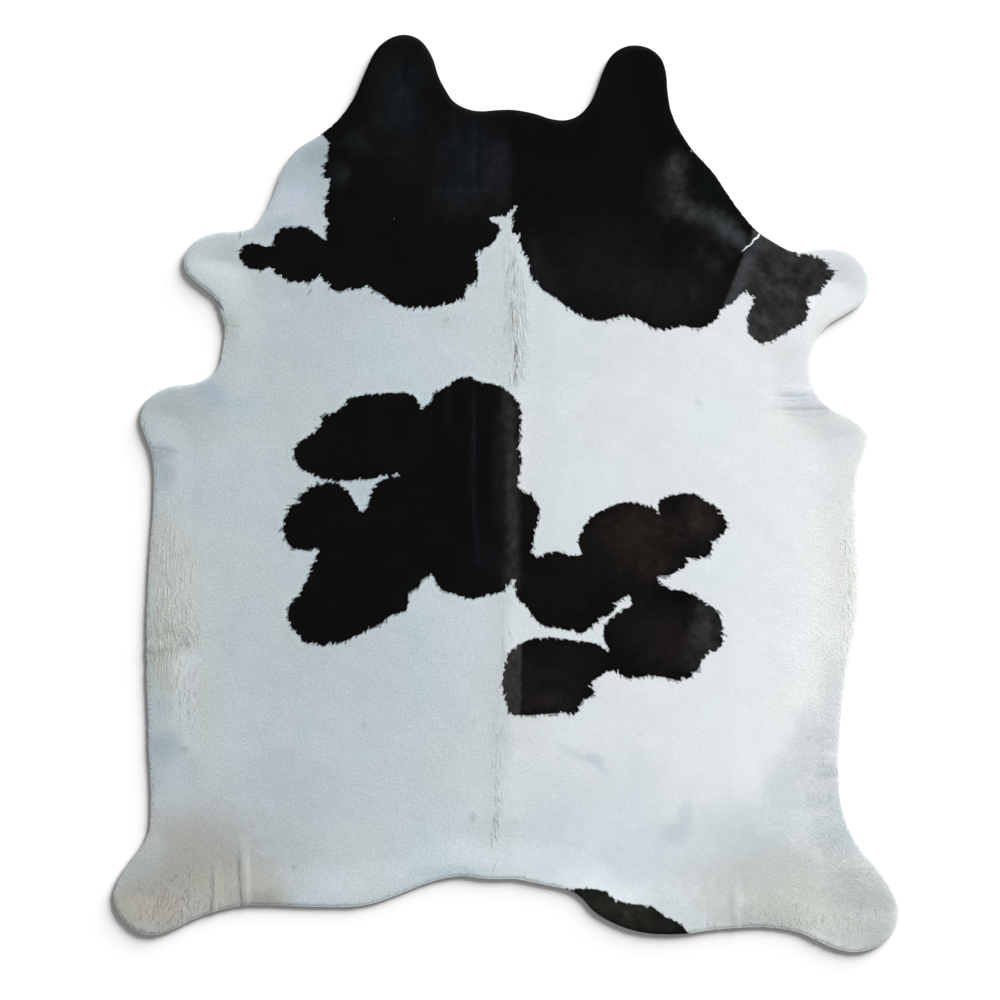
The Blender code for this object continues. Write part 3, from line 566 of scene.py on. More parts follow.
def white_tint(P):
    """Colour of the white hair, with painted shade across the hide, as linear red, green, blue."""
    x = P[:, 0] * 100 + 2.2 * (noise(P, 0.06, 31) - 0.5)
    # the tone across the hide carries painted shade: darker left of the spine, lighter right of it
    xs = [a for a, _ in TONE_AND_PAINTED_SHADE_ACROSS]
    base = np.stack([np.interp(x, xs, [c[k] for _, c in TONE_AND_PAINTED_SHADE_ACROSS]) for k in range(3)], 1)
    mottle = (noise(P, 0.11, 32) - 0.5) * 3.6 + (noise(P, 0.034, 33) - 0.5) * 3.6 + (noise(P, 0.013, 34) - 0.5) * 1.6
    base += mottle[:, None] * np.array((1.05, 1.0, 0.9))
    base += ((noise(P, 0.16, 35) - 0.5) * 3.0)[:, None] * np.array((1.0, 0.1, -0.9))
    base = spots(P, base, STAINS, 0.18)
    return linear(spots(P, base, [(c, r, r * 1.3, 0, col, s) for c, r, col, s in TICKS], 0.8).clip(4, 250))


def black_tint(P):
    """Colour of the black hair, with its painted sheen, as linear red, green, blue."""
    base = np.tile(np.array((16.0, 16.1, 16.7)), (len(P), 1))
    base += ((noise(P, 0.05, 41) - 0.5) * 2.5)[:, None]
    down = np.tile(np.array((0.06, -1.0)), (len(P), 1))
    comb = combed(P, down, 0.0037, 0.045, 43, 9) + 0.8 * combed(P, down, 0.0110, 0.060, 47, 7)
    # painted sheen on the left half of the neck, stopped at the back line
    left = spots(P, base.copy(), LEFT_NECK_SHEEN, 0.3, 0.0, 1.6)
    left += ((left[:, 2] - 16).clip(0, 12) * 0.30 * comb)[:, None]
    w = step(0.0160, 0.0135, P[:, 0])[:, None]
    base = left * w + base * (1 - w)
    # the grey shoulder end, which starts hard at a fold line
    q = P * 100 - np.array((55.7, 56.8))
    over = q[:, 0] * 0.928 - q[:, 1] * 0.374
    w = step(-0.25, 0.35, over) * (P[:, 1] < 0.66) * (P[:, 1] > 0.30) * (P[:, 0] > 0.45)
    grey = np.array((49.5, 50.0, 52.0)) + (13.0 * (1 - step(1.0, 5.0, over)) + 8.0 * step(17, 22, over))[:, None] * np.array((1, 1.15, 1.2))
    grey += ((noise(P, 0.016, 44) - 0.5) * 16 + (noise(P, 0.006, 45) - 0.5) * 12)[:, None]
    base = base * (1 - w[:, None]) + grey * w[:, None]
    # painted sheen on the black hair, together with its own brown and grey tones
    base = spots(P, base, SHEEN_AND_TONE_SPOTS, 0.35, 0.0, 1.75)
    # the pale end strip of the lower flank marking stops hard as well
    q = P * 100 - np.array((1.6, -43.6))
    w = ((np.abs(q[:, 1]) < 9) * step(1.95, 1.55, q[:, 0] + 0.3 * comb) * (q[:, 0] > -4))[:, None]
    base = base * (1 - w) + (np.array((52.0, 49.0, 51.0)) + 2.5 * comb[:, None]) * w
    fine = combed(P, flow(P), 0.0048, 0.012, 48) * 0.24 + (noise(P, 0.008, 46) - 0.5) * 0.5 + (noise(P, 0.020, 49) - 0.5) * 0.5
    base += (base[:, 1:2] - 17).clip(0, 30) * 0.8 * fine[:, None]
    return linear(base.clip(4, 95))


def black_albedo(P):
    return (black_tint(P) * 0.97 - GLOSS).clip(0.0012, None)

# ================================================================ meshes
def new_mesh(name, verts, faces, corners=None):
    """A mesh from arrays; faces is (n, 3) or (n, 4), or a list of such arrays."""
    faces = faces if isinstance(faces, list) else [faces]
    me = bpy.data.meshes.new(name)
    me.vertices.add(len(verts))
    me.vertices.foreach_set("co", np.asarray(verts, np.float32).ravel())
    idx = np.concatenate([f.ravel() for f in faces]).astype(np.int32)
    total = np.concatenate([np.full(len(f), f.shape[1]) for f in faces]).astype(np.int32)
    start = np.concatenate([[0], np.cumsum(total)[:-1]]).astype(np.int32)
    me.loops.add(len(idx))
    me.loops.foreach_set("vertex_index", idx)
    me.polygons.add(len(total))
    me.polygons.foreach_set("loop_start", start)
    me.polygons.foreach_set("loop_total", total)
    me.update(calc_edges=True)
    me.validate()
    me.shade_smooth()
    ob = bpy.data.objects.new(name, me)
    bpy.context.scene.collection.objects.link(ob)
    return ob


def put(ob, name, kind, values):
    at = ob.data.attributes.new(name, kind, "POINT")
    if kind == "FLOAT_COLOR":
        v = np.ones((len(values), 4), np.float32)
        v[:, :3] = values
        at.data.foreach_set("color", v.ravel())
    elif kind == "FLOAT_VECTOR":
        at.data.foreach_set("vector", np.asarray(values, np.float32).ravel())
    else:
        at.data.foreach_set("value", np.asarray(values, np.float32).ravel())


def map_from(ob, uv_points):
    """A map for the piece from one place per vertex, filling 0 to 1."""
    low, high = uv_points.min(0), uv_points.max(0)
    uv = (uv_points - low) / (high - low)
    uv = 0.002 + 0.996 * uv
    me = ob.data
    vi = np.empty(len(me.loops), np.int32)
    me.loops.foreach_get("vertex_index", vi)
    layer = me.uv_layers.new(name="OFBake")
    layer.uv.foreach_set("vector", uv[vi].astype(np.float32).ravel())


def ring_faces(a, b, n):
    i = np.arange(n)
    j = (i + 1) % n
    return np.stack([a + i, a + j, b + j, b + i], 1)


def area_fill(loop, pitch, clear):
    """Points and faces over the inside of a clockwise loop: even squares within, a fitted band at the edge."""
    low = np.array((-0.94, -1.10))
    n = np.ceil(np.array((1.88, 2.20)) / pitch).astype(int) + 1
    X, Y = np.meshgrid(np.arange(n[0]), np.arange(n[1]), indexing="ij")
    P = low + np.stack([X.ravel(), Y.ravel()], 1) * pitch
    ok = (depth(P) > clear).reshape(n)
    cell = ok[:-1, :-1] & ok[1:, :-1] & ok[1:, 1:] & ok[:-1, 1:]
    ci, cj = np.nonzero(cell)
    k = lambda i, j: i * n[1] + j
    quads = np.stack([k(ci, cj), k(ci + 1, cj), k(ci + 1, cj + 1), k(ci, cj + 1)], 1)
    used, back = np.unique(quads, return_inverse=True)
    quads = back.reshape(quads.shape)
    pts = P[used]
    # the edges of the squares that only one square has
    e = np.concatenate([quads[:, [0, 1]], quads[:, [1, 2]], quads[:, [2, 3]], quads[:, [3, 0]]])
    key = np.sort(e, 1)
    _, first, count = np.unique(key, axis=0, return_index=True, return_counts=True)
    stair = key[first[count == 1]]
    on = np.unique(stair)
    m = len(loop)
    local = {int(v): m + i for i, v in enumerate(on)}
    coords = [tuple(p) for p in loop] + [tuple(p) for p in pts[on]]
    cons = [(i, (i + 1) % m) for i in range(m)] + [(local[int(a)], local[int(b)]) for a, b in stair]
    from mathutils import Vector
    res = delaunay_2d_cdt([Vector(c) for c in coords], cons, [], 1, 1e-7)
    back = [o[0] for o in res[3]]
    tri = np.array([[back[v] for v in f] for f in res[2] if len(f) == 3], int)
    C = np.array(coords)
    mid = C[tri].mean(1)
    g = np.floor((mid - low) / pitch).astype(int)
    tri = tri[~cell[g[:, 0], g[:, 1]]]
    a, b, c = C[tri[:, 0]], C[tri[:, 1]], C[tri[:, 2]]
    turn = (b[:, 0] - a[:, 0]) * (c[:, 1] - a[:, 1]) - (b[:, 1] - a[:, 1]) * (c[:, 0] - a[:, 0])
    tri[turn < 0] = tri[turn < 0][:, ::-1]
    # final numbering: the loop first, then every grid point
    remap = np.concatenate([np.arange(m), m + on])
    return np.vstack([loop, pts]), quads + m, remap[tri]


def build_coat():
    n = len(RIM)
    top_loop = RIM + INWARD * 0.0026
    pts, quads, tris = area_fill(top_loop, 0.0068, 0.0075)
    d = depth(pts)
    d[:n] = 0.0026
    z = coat_top(pts, d)
    zr = coat_top(RIM, np.zeros(n))
    rows = [(0.0013, 0.00035, 0.0025), (0.0004, -0.0002, 0.0045), (0.0, -0.0010, 0.0065), (0.0005, -0.0017, 0.0085)]
    verts = [np.column_stack([pts, z])]
    uv = [pts]
    faces = [quads, tris]
    above, count = 0, len(pts)
    for inward, dz, spread in rows:
        loop = RIM + INWARD * inward
        verts.append(np.column_stack([loop, zr + dz]))
        uv.append(RIM + INWARD * (0.0026 - spread))
        faces.append(ring_faces(above, count, n))
        above, count = count, count + n
    verts, uv = np.vstack(verts), np.vstack(uv)
    ob = new_mesh("coat", verts, [faces[1]] + [faces[0]] + faces[2:])
    P = verts[:, :2]
    m, _ = marks(P)
    # the bed's white is painted 10 % darker as shade from the locks lying over it
    put(ob, "white_tint", "FLOAT_COLOR", white_tint(P) * GAIN * 0.90)
    put(ob, "black_tint", "FLOAT_COLOR", black_albedo(P))
    put(ob, "mark", "FLOAT", m * 1000)
    put(ob, "lie", "FLOAT_VECTOR", np.column_stack([P, np.zeros(len(P))]))
    map_from(ob, uv)
    return ob


def build_leather():
    n0 = RIM[::2]
    n = len(n0)
    inw = INWARD[::2]
    top_loop = n0 + inw * 0.0009
    pts, quads, tris = area_fill(top_loop, 0.030, 0.022)
    d = depth(pts)
    d[:n] = 0.0009
    nb = len(pts)
    z0 = lift(pts, d)
    fuzz = 0.00025 * (noise(pts, 0.012, 51) - 0.5)
    rest = step(0.0, 0.004, z0)
    low = np.column_stack([pts, z0 + fuzz.clip(0, None) * rest])
    high = np.column_stack([pts, z0 + SKIN - 0.0001])
    high[:n, 2] -= 0.0002
    cut = n0 + inw * (0.0004 + 0.0005 * noise(n0, 0.01, 52)[:, None])
    zc = lift(n0, np.zeros(n))
    verts = np.vstack([high, low, np.column_stack([cut, zc + SKIN * 0.72]), np.column_stack([cut, zc + SKIN * 0.25])])
    faces = [tris, tris[:, ::-1] + nb, quads, quads[:, ::-1] + nb,
             ring_faces(0, 2 * nb, n), ring_faces(2 * nb, 2 * nb + n, n), ring_faces(2 * nb + n, nb, n)]
    ob = new_mesh("leather", verts, faces)
    return ob


def build_hair():
    """Locks of short lying hair all over the coat, in pieces: strips of white hair and one piece for each black marking."""
    rng = np.random.default_rng(RNG_SEED)
    s = HAIR_PITCH
    nx, ny = int(1.86 / s), int(2.16 / (s * 0.866))
    X, Y = np.meshgrid(np.arange(nx), np.arange(ny), indexing="ij")
    root = np.stack([(X + 0.5 * (Y % 2)).ravel() * s - 0.93, Y.ravel() * s * 0.866 - 1.08], 1)
    root += rng.uniform(-0.48, 0.48, root.shape) * s
    # more, finer locks where black meets white
    s = HAIR_PITCH * 0.72
    nx, ny = int(1.70 / s), int(2.06 / (s * 0.866))
    X, Y = np.meshgrid(np.arange(nx), np.arange(ny), indexing="ij")
    extra = np.stack([(X + 0.5 * (Y % 2)).ravel() * s - 0.80, Y.ravel() * s * 0.866 - 1.00], 1)
    extra += rng.uniform(-0.48, 0.48, extra.shape) * s
    extra = extra[np.abs(marks(extra + flow(extra) * 0.005)[0]) < 0.0105]
    root = np.vstack([root, extra])
    d = depth(root)
    keep = d > 0.0012
    root, d = root[keep], d[keep]
    n = len(root)

    # how loose the hair lies: tufts at the left belly, the hind legs and the spine
    loose = 1.0 + 0.9 * bump((root[:, 0] + 0.78) / 0.09) * bump((root[:, 1] + 0.30) / 0.34)
    loose += 0.6 * bump(np.hypot((root[:, 0] + 0.76) / 0.22, (root[:, 1] + 0.94) / 0.16))
    loose += 0.4 * bump(np.hypot((root[:, 0] - 0.70) / 0.30, (root[:, 1] + 0.96) / 0.14))
    r, _ = from_lines(root, np.array(SPINE) / 100)
    ridge = bump(r / 0.022) * step(0.05, 0.20, root[:, 1])
    loose += 0.7 * ridge

    v = flow(root)
    ang = rng.normal(0, 0.040, n) * loose + (noise(root, 0.012, 61) - 0.5) * 0.08 * loose
    c, sn = np.cos(ang), np.sin(ang)
    v = np.stack([v[:, 0] * c - v[:, 1] * sn, v[:, 0] * sn + v[:, 1] * c], 1)
    side = np.stack([-v[:, 1], v[:, 0]], 1)
    long = 0.0165 * (0.80 + 0.45 * rng.random(n)) * (0.9 + 0.2 * noise(root, 0.03, 62))
    long *= 1.0 + 0.25 * (loose - 1).clip(0, 1)
    wide = 0.0021 * (0.75 + 0.6 * rng.random(n))
    first, _ = marks(root + v * 0.005)
    by_mark = bump(first / 0.019)
    long *= 1 - 0.50 * by_mark
    wide *= 1 - 0.22 * by_mark

    # the hair at the cut edge is trimmed with it
    tip = root + v * long[:, None]
    dt = depth(tip)
    over = 0.0001 + 0.0004 * rng.random(n)
    out = dt < -over
    share = np.where(out, ((d + over) / (d - dt).clip(1e-5, None)).clip(0.12, 1), 1.0)
    long *= share
    tip = root + v * long[:, None]
    mid = root + v * (long * 0.42)[:, None]

    # colour: a lock is black where its visible part lies in a marking
    look = root + v * (long * 0.66)[:, None]
    m, which = toothed(look, v)
    m += rng.normal(0, 0.0002, n)
    black = m < 0

    zs = coat_top(root, d)
    zm = coat_top(mid, depth(mid), 0.0006)
    zt = coat_top(tip, depth(tip), 0.0004)
    lay = rng.random(n)
    up = 0.00025 + 0.00008 * lay + 0.00009 * (loose - 1)
    roll = rng.normal(0, 0.0035, n) * loose
    p0 = np.column_stack([root, zs - 0.0004])
    p3 = np.column_stack([tip, zt + up])
    at = (zs - 0.0004) * 0.58 + (zt + up) * 0.42
    zmid = np.maximum(zm - 0.0001, at)
    l = mid + side * (wide / 2)[:, None]
    rr = mid - side * (wide / 2)[:, None]
    p1 = np.column_stack([l, zmid - 0.00006 + roll * wide / 2])
    p2 = np.column_stack([rr, zmid - 0.00006 - roll * wide / 2])

    # tint: root in shade, tip paler, with fine streaks along the lie of the hair
    tone = 1.0 + rng.normal(0, 0.0025, n) * loose + 0.006 * loose * combed(root, v, 0.0036, 0.02, 65)
    tw = white_tint(look) * GAIN
    tb = black_albedo(look)
    tint = np.where(black[:, None], tb * (1 + 6 * (tone - 1)).clip(0.4, 2)[:, None], tw * tone[:, None])

    order = np.argsort(root[:, 1], kind="stable")
    pieces = []

    def piece(name, pick):
        ids = order[pick[order]]
        k = len(ids)
        if k == 0:
            return
        V = np.stack([p0[ids], p1[ids], p2[ids], p3[ids]], 1).reshape(-1, 3)
        b = np.arange(k)[:, None] * 4
        F = np.concatenate([b + (0, 2, 3), b + (0, 3, 1)], 1).reshape(-1, 3)
        ob = new_mesh(name, V, F)
        t = tint[ids]
        T = np.stack([t * 0.90, t, t, t * 1.03], 1).reshape(-1, 3)
        put(ob, "tint", "FLOAT_COLOR", T)
        own = rng.random(k)
        S = np.zeros((k, 4, 3))
        S[:, 1, 0], S[:, 2, 0] = 1, -1
        S[:, 1, 1] = S[:, 2, 1] = 0.42
        S[:, 3, 1] = 1
        S[:, :, 2] = own[:, None]
        put(ob, "strand", "FLOAT_VECTOR", S.reshape(-1, 3))
        map_from(ob, V[:, :2])
        pieces.append((ob, name.startswith("hair_black")))

    white = ~black
    cuts = np.quantile(root[white][:, 0], (0.25, 0.5, 0.75))
    strip = np.searchsorted(cuts, root[:, 0])
    for k in range(4):
        piece("hair_white_%d" % (k + 1), white & (strip == k))
    for k, nm in enumerate(("neck", "saddle", "flank", "rump")):
        piece("hair_black_" + nm, black & (which == k))
    return pieces


def build_crinkles():
    """Longer, wavy single hairs on top: along the spine, at the belly edges, the hind legs and the scar."""
    rng = np.random.default_rng(RNG_SEED + 1)
    sy = np.array(SPINE)[::-1, 1] / 100
    sx = np.array(SPINE)[::-1, 0] / 100
    starts, tones, sizes = [], [], []
    seg = 7

    def strew(count, place, colours, long, wide):
        for _ in range(count):
            starts.append(place())
            tones.append(colours[rng.integers(len(colours))])
            sizes.append((long * (0.6 + 0.8 * rng.random()), wide * (0.7 + 0.6 * rng.random())))

    def spine_place(y0, y1, spread, off=0.0):
        def place():
            y = rng.uniform(y0, y1)
            return (np.interp(y, sy, sx) + off + rng.normal(0, spread), y)
        return place

    def cloud(cx, cy, rx, ry):
        return lambda: (cx + rng.normal(0, rx), cy + rng.normal(0, ry))

    # along the spine: the pale hairs are painted highlights, the greyer ones painted shade lines
    strew(200, spine_place(0.27, 0.62, 0.0115, 0.008), [(208, 214, 212), (220, 226, 226), (232, 237, 238)], 0.030, 0.0009)
    strew(60, spine_place(0.27, 0.60, 0.0100, 0.007), [(184, 191, 189), (176, 184, 180), (192, 199, 196)], 0.026, 0.0007)
    strew(9, spine_place(0.40, 0.47, 0.0022, 0.000), [(112, 118, 116), (134, 138, 134)], 0.022, 0.0007)
    strew(14, spine_place(0.27, 0.36, 0.0026, 0.001), [(84, 90, 90), (112, 118, 116)], 0.024, 0.0008)
    strew(7, spine_place(0.48, 0.57, 0.0040, 0.003), [(140, 146, 143)], 0.022, 0.0007)
    strew(90, spine_place(-0.88, -0.30, 0.005), [(214, 221, 224), (190, 199, 203)], 0.026, 0.0008)
    strew(9, spine_place(-0.84, -0.70, 0.003), [(150, 160, 164)], 0.022, 0.0006)
    strew(260, cloud(-0.785, -0.20, 0.022, 0.09), [(203, 208, 203), (193, 198, 192), (212, 216, 212)], 0.036, 0.0009)
    strew(170, cloud(-0.770, -0.32, 0.026, 0.05), [(203, 207, 200), (190, 194, 186), (212, 215, 208)], 0.032, 0.0009)
    strew(60, cloud(-0.755, -0.44, 0.030, 0.05), [(200, 203, 196), (186, 190, 182)], 0.026, 0.0008)
    # left hind leg tufts: the lighter hairs are painted speckled highlights, the darker ones the leg's own tone
    strew(260, cloud(-0.77, -0.96, 0.055, 0.035), [(190, 188, 180), (172, 168, 160), (152, 148, 140)], 0.016, 0.0008)
    strew(120, cloud(0.68, -0.99, 0.10, 0.020), [(212, 214, 208), (196, 198, 190)], 0.018, 0.0008)
    strew(90, cloud(0.80, -0.22, 0.012, 0.16), [(238, 241, 238), (224, 228, 223)], 0.026, 0.0008)
    P, C, size = np.array(starts), np.array(tones, float), np.array(sizes)
    m, _ = marks(P)
    ok = (depth(P) > 0.008) & (m > 0.010)
    P, C, size = P[ok], C[ok], size[ok]
    n = len(P)
    phase, beat = rng.random(n) * 6.28, 0.8 + 1.2 * rng.random(n)
    lean = rng.normal(0, 0.10, n)
    at, path = P.copy(), [P.copy()]
    for k in range(seg):
        f = flow(at)
        a = lean + 0.26 * np.sin(phase + beat * 6.28 * k / seg)
        c, s = np.cos(a), np.sin(a)
        at = at + np.stack([f[:, 0] * c - f[:, 1] * s, f[:, 0] * s + f[:, 1] * c], 1) * (size[:, :1] / seg)
        path.append(at.copy())
    path = np.stack(path, 1)

    # single hairs laid along given lines: the scar in the neck marking, and the torn nicks in the left arm pit
    own, own_tone, own_wide = [], [], []

    def laid(line, tone, wide, copies, jitter):
        line = np.array(line) / 100
        s = np.linspace(0, 1, len(line))
        for _ in range(copies):
            t = np.linspace(0, 1, seg + 1) * rng.uniform(0.85, 1.0) + rng.uniform(0, 0.05)
            q = np.stack([np.interp(t, s, line[:, 0]), np.interp(t, s, line[:, 1])], 1)
            own.append(q + rng.normal(0, jitter, 2) + rng.normal(0, jitter * 0.5, q.shape))
            own_tone.append(np.array(tone, float) + rng.normal(0, 6))
            own_wide.append(wide * rng.uniform(0.7, 1.2))

    laid(SCAR[::-1], (226, 228, 228), 0.0028, 6, 0.0006)
    laid(SCAR[::-1][:4], (236, 238, 238), 0.0040, 5, 0.0008)
    laid([(-67.4, 45.0), (-66.9, 44.2), (-66.2, 43.2), (-65.8, 42.7)], (70, 66, 70), 0.0022, 4, 0.0004)
    laid([(-65.9, 39.4), (-65.8, 38.2)], (104, 102, 106), 0.0020, 2, 0.0003)
    laid([(-62.0, 61.2), (-61.9, 60.2), (-61.9, 59.3)], (150, 156, 160), 0.0016, 2, 0.0003)
    laid([(42.9, 80.0), (43.4, 79.4)], (150, 150, 150), 0.0012, 2, 0.0003)
    laid([(-26.2, 64.2), (-26.0, 63.8)], (120, 120, 122), 0.0012, 2, 0.0002)
    path = np.concatenate([path, np.array(own)])
    C = linear(np.concatenate([C, np.array(own_tone)]).clip(8, 245)) * GAIN
    wide = np.concatenate([size[:, 1], np.array(own_wide)])
    n = len(path)

    V = []
    for k in range(seg + 1):
        at, t = path[:, k], k / seg
        f = path[:, min(k + 1, seg)] - path[:, max(k - 1, 0)]
        f /= np.linalg.norm(f, axis=1)[:, None].clip(1e-6, None)
        sd = np.stack([-f[:, 1], f[:, 0]], 1)
        w = (wide * 0.5 * min(1.0, 0.35 + 3 * t) * (1 - t) ** 0.6)[:, None] + 0.00005
        z = coat_top(at, depth(at)) + 0.00075 + 0.0004 * math.sin(math.pi * t)
        for sg in (1, -1):
            V.append(np.column_stack([at + sd * w * sg, z]))
    V = np.stack(V, 1)
    rows = 2 * (seg + 1)
    b = np.arange(n) * rows
    F = np.stack([np.stack([b + 2 * k + 1, b + 2 * k + 3, b + 2 * k + 2, b + 2 * k], 1) for k in range(seg)], 1).reshape(-1, 4)
    ob = new_mesh("hair_crinkled", V.reshape(-1, 3), F)
    put(ob, "tint", "FLOAT_COLOR", np.repeat(C, rows, 0))
    S = np.zeros((n, rows, 3))
    S[:, ::2, 0], S[:, 1::2, 0] = 1, -1
    S[:, :, 1] = np.repeat(np.arange(seg + 1), 2) / seg
    S[:, :, 2] = rng.random(n)[:, None]
    put(ob, "strand", "FLOAT_VECTOR", S.reshape(-1, 3))
    map_from(ob, V.reshape(-1, 3)[:, :2])
    return ob


# ================================================================ materials
class Nodes:
    """Short hand for building a material."""

    def __init__(self, name):
        self.mat = bpy.data.materials.new(name)
        self.mat.use_nodes = True
        self.t = self.mat.node_tree
        self.t.nodes.clear()
        self.out = self.t.nodes.new("ShaderNodeOutputMaterial")

    def n(self, kind, _in=None, **props):
        node = self.t.nodes.new("ShaderNode" + kind)
        for k, val in props.items():
            setattr(node, k, val)
        for k, val in (_in or {}).items():
            if isinstance(val, bpy.types.NodeSocket):
                self.t.links.new(val, node.inputs[k])
            else:
                node.inputs[k].default_value = val
        return node

    def math(self, op, a, b=0.0, c=0.0):
        return self.n("Math", {0: a, 1: b, 2: c}, operation=op).outputs[0]

    def ramp(self, fac, low, high, to_low, to_high):
        return self.n("MapRange", {"Value": fac, "From Min": low, "From Max": high, "To Min": to_low,
                                   "To Max": to_high}).outputs[0]

    def mix(self, fac, a, b, blend="MIX"):
        node = self.t.nodes.new("ShaderNodeMix")
        node.data_type, node.blend_type = "RGBA", blend
        for i, val in ((0, fac), (6, a), (7, b)):
            if isinstance(val, bpy.types.NodeSocket):
                self.t.links.new(val, node.inputs[i])
            else:
                node.inputs[i].default_value = val
        return node.outputs[2]

    def grey(self, v):
        return self.n("CombineColor", {0: v, 1: v, 2: v}).outputs[0]

    def attr(self, name):
        return self.n("Attribute", attribute_name=name)


def hair_material(name, rough, specular, sheen, grain):
    m = Nodes(name)
    strand = m.attr("strand").outputs["Vector"]
    xyz = m.n("SeparateXYZ", {0: strand})
    across, along_, own = xyz.outputs[0], xyz.outputs[1], xyz.outputs[2]
    place = m.n("CombineXYZ", {0: m.math("MULTIPLY", across, 2.6), 1: m.math("MULTIPLY", along_, 1.3),
                               2: m.math("MULTIPLY", own, 37.0)})
    fine = m.n("TexNoise", {"Vector": place.outputs[0], "Scale": 1.0, "Detail": 2.0, "Roughness": 0.6})
    coord = m.n("TexCoord").outputs["Object"]
    dust = m.n("TexNoise", {"Vector": coord, "Scale": 240.0, "Detail": 3.0, "Roughness": 0.6})
    tone = m.math("ADD", m.ramp(fine.outputs[0], 0.25, 0.75, 1 - grain, 1 + grain),
                  m.ramp(dust.outputs[0], 0.3, 0.7, -grain * 0.5, grain * 0.5))
    colour = m.mix(1.0, m.attr("tint").outputs["Color"], m.grey(tone), "MULTIPLY")
    bump_ = m.n("Bump", {"Height": fine.outputs[0], "Strength": 0.20, "Distance": 0.00020})
    bsdf = m.n("BsdfPrincipled", {
        "Base Color": colour, "Roughness": m.ramp(fine.outputs[0], 0.3, 0.7, rough - 0.06, rough + 0.08),
        "Specular IOR Level": specular, "Sheen Weight": sheen, "Sheen Roughness": 0.45,
        "Normal": bump_.outputs[0]})
    m.t.links.new(bsdf.outputs[0], m.out.inputs[0])
    return m.mat


def coat_material():
    """The bed of hair between the locks: two colours of coat with a hairy border, drawn out along the lie of the hair."""
    m = Nodes("coat_bed")
    lie = m.n("SeparateXYZ", {0: m.attr("lie").outputs["Vector"]})
    side = m.math("ABSOLUTE", lie.outputs[0])
    # across and along the hair, mirrored about the spine, 30 degrees out from straight back
    u = m.math("ADD", m.math("MULTIPLY", side, 0.87), m.math("MULTIPLY", lie.outputs[1], 0.5))
    w = m.math("SUBTRACT", m.math("MULTIPLY", lie.outputs[1], 0.87), m.math("MULTIPLY", side, 0.5))
    hairs = m.n("CombineXYZ", {0: m.math("MULTIPLY", u, 900.0), 1: m.math("MULTIPLY", w, 70.0), 2: 0.0})
    streak = m.n("TexNoise", {"Vector": hairs.outputs[0], "Scale": 1.0, "Detail": 3.0, "Roughness": 0.65})
    mark = m.math("ADD", m.attr("mark").outputs["Fac"], m.ramp(streak.outputs[0], 0.2, 0.8, -2.4, 2.4))
    is_white = m.ramp(mark, -0.5, 0.5, 0.0, 1.0)
    colour = m.mix(is_white, m.attr("black_tint").outputs["Color"], m.attr("white_tint").outputs["Color"])
    colour = m.mix(1.0, colour, m.grey(m.ramp(streak.outputs[0], 0.25, 0.75, 0.86, 1.08)), "MULTIPLY")
    bump_ = m.n("Bump", {"Height": streak.outputs[0], "Strength": 0.5, "Distance": 0.0004})
    bsdf = m.n("BsdfPrincipled", {
        "Base Color": colour, "Roughness": m.ramp(streak.outputs[0], 0.3, 0.7, 0.58, 0.72),
        "Specular IOR Level": 0.06, "Normal": bump_.outputs[0]})
    m.t.links.new(bsdf.outputs[0], m.out.inputs[0])
    return m.mat


def leather_material():
    """Raw suede flesh side: pale tan, blotched, with a short nap and a few vein lines."""
    m = Nodes("raw_leather")
    coord = m.n("TexCoord").outputs["Object"]
    blotch = m.n("TexNoise", {"Vector": coord, "Scale": 5.5, "Detail": 5.0, "Roughness": 0.6})
    nap = m.n("TexNoise", {"Vector": coord, "Scale": 420.0, "Detail": 4.0, "Roughness": 0.7})
    vein = m.n("TexVoronoi", {"Vector": coord, "Scale": 7.0, "Randomness": 1.0}, feature="DISTANCE_TO_EDGE")
    colour = m.mix(m.ramp(blotch.outputs[0], 0.35, 0.65, 0.0, 1.0), (0.40, 0.34, 0.27, 1), (0.56, 0.49, 0.40, 1))
    colour = m.mix(m.ramp(vein.outputs[0], 0.0, 0.04, 0.22, 0.0), colour, (0.33, 0.27, 0.21, 1))
    colour = m.mix(1.0, colour, m.grey(m.ramp(nap.outputs[0], 0.3, 0.7, 0.86, 1.12)), "MULTIPLY")
    bump_ = m.n("Bump", {"Height": nap.outputs[0], "Strength": 0.5, "Distance": 0.0004})
    bsdf = m.n("BsdfPrincipled", {
        "Base Color": colour, "Roughness": m.ramp(nap.outputs[0], 0.3, 0.7, 0.82, 0.96),
        "Specular IOR Level": 0.2, "Sheen Weight": 0.25, "Sheen Roughness": 0.6, "Normal": bump_.outputs[0]})
    m.t.links.new(bsdf.outputs[0], m.out.inputs[0])
    return m.mat


# ================================================================ build
HAIR_PITCH = 0.0032
GAIN = 0.975           # tints are as seen, so they are set for this scene's light
GLOSS = 0.0030         # what the black hair's own shine adds

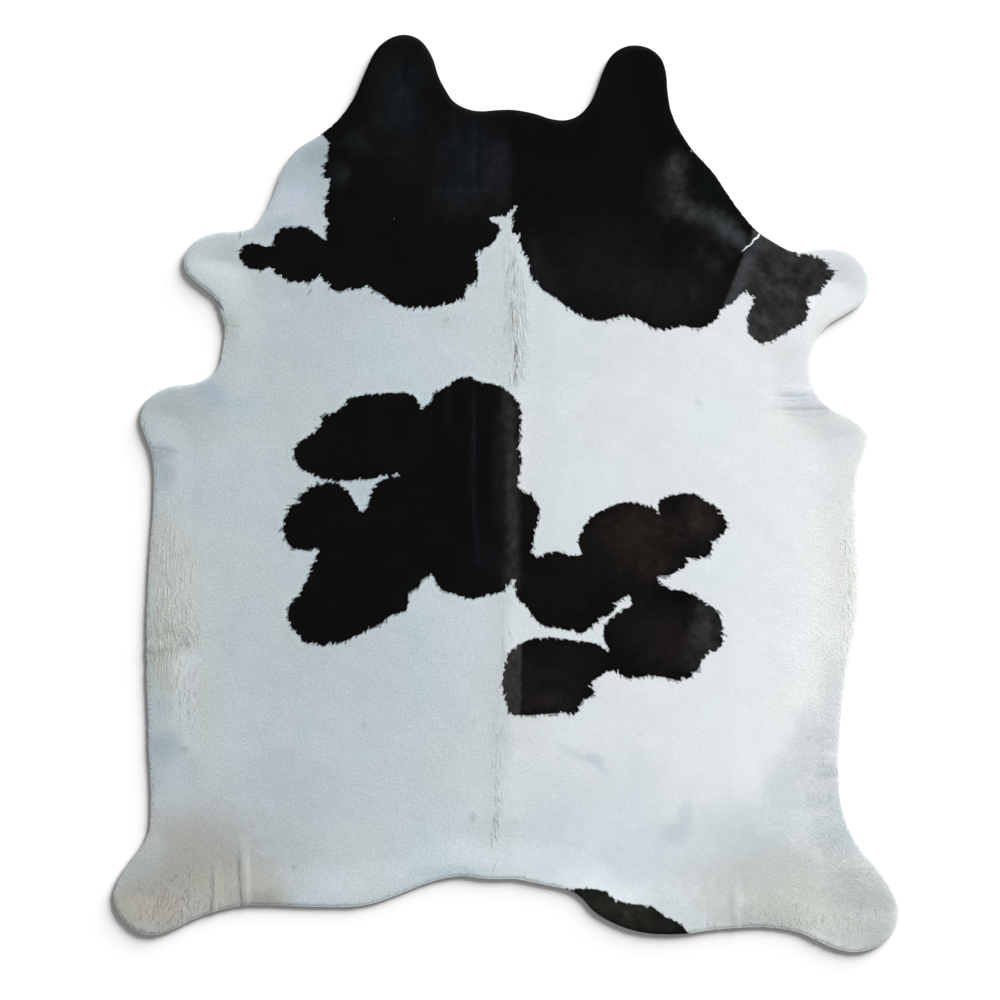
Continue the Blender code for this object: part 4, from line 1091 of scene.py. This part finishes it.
coat = build_coat()
coat.data.materials.append(coat_material())
leather = build_leather()
leather.data.materials.append(leather_material())
white_hair = hair_material("white_hair", 0.60, 0.10, 0.04, 0.018)
black_hair = hair_material("black_hair", 0.50, 0.05, 0.0, 0.14)
hair = build_hair()
for ob, is_black in hair:
    ob.data.materials.append(black_hair if is_black else white_hair)
crinkles = build_crinkles()
crinkles.data.materials.append(white_hair)
locks = [o for o, _ in hair] + [crinkles]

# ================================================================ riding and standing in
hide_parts("hide")
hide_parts("hide")
for o in [coat, leather] + locks:
    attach(o, "root")

# ================================================================ stage, light and camera
floor_me = bpy.data.meshes.new("floor")
R = 14.0
floor_me.from_pydata([(-R, -R, 0), (R, -R, 0), (R, R, 0), (-R, R, 0)], [], [(0, 1, 2, 3)])
floor = bpy.data.objects.new("floor", floor_me)
bpy.context.scene.collection.objects.link(floor)
floor.location.z = -0.0002
fm = Nodes("floor_pale")
fb = fm.n("BsdfPrincipled", {"Base Color": (0.93, 0.93, 0.93, 1), "Roughness": 0.9, "Specular IOR Level": 0.0})
fm.t.links.new(fb.outputs[0], fm.out.inputs[0])
floor_me.materials.append(fm.mat)

skin_area = 0.5 * abs(float((OUTLINE[:, 0] * np.roll(OUTLINE[:, 1], -1) - np.roll(OUTLINE[:, 0], -1) * OUTLINE[:, 1]).sum()))

world = bpy.data.worlds.new("studio")
world.use_nodes = True
world.node_tree.nodes["Background"].inputs[0].default_value = (0.985, 0.99, 1.0, 1)
world.node_tree.nodes["Background"].inputs[1].default_value = 0.25
bpy.context.scene.world = world


def sun(name, toward, energy, angle, colour=(1, 1, 1)):
    """A broad soft light shining from that direction."""
    from mathutils import Vector
    li = bpy.data.lights.new(name, "SUN")
    li.energy, li.angle, li.color = energy, math.radians(angle), colour
    ob = bpy.data.objects.new(name, li)
    ob.rotation_euler = Vector(toward).to_track_quat("Z", "Y").to_euler()
    bpy.context.scene.collection.objects.link(ob)
    return ob


el, az = math.radians(15.5), math.radians(51)
sun("key", (math.cos(el) * math.cos(az), math.cos(el) * math.sin(az), math.sin(el)), 10.05, 36, (1.0, 0.998, 0.992))

cam = bpy.data.objects.new("camera", bpy.data.cameras.new("camera"))
cam.data.lens, cam.data.sensor_width = 100.0, 36.0
FRAME_W = 2.333
cam.location = (-0.0149, -0.0156, FRAME_W * 100.0 / 36.0)
cam.rotation_euler = (0, 0, 0)
bpy.context.scene.collection.objects.link(cam)
bpy.context.scene.camera = cam

scene = bpy.context.scene
scene.view_settings.view_transform = "Standard"
scene.view_settings.look = "None"
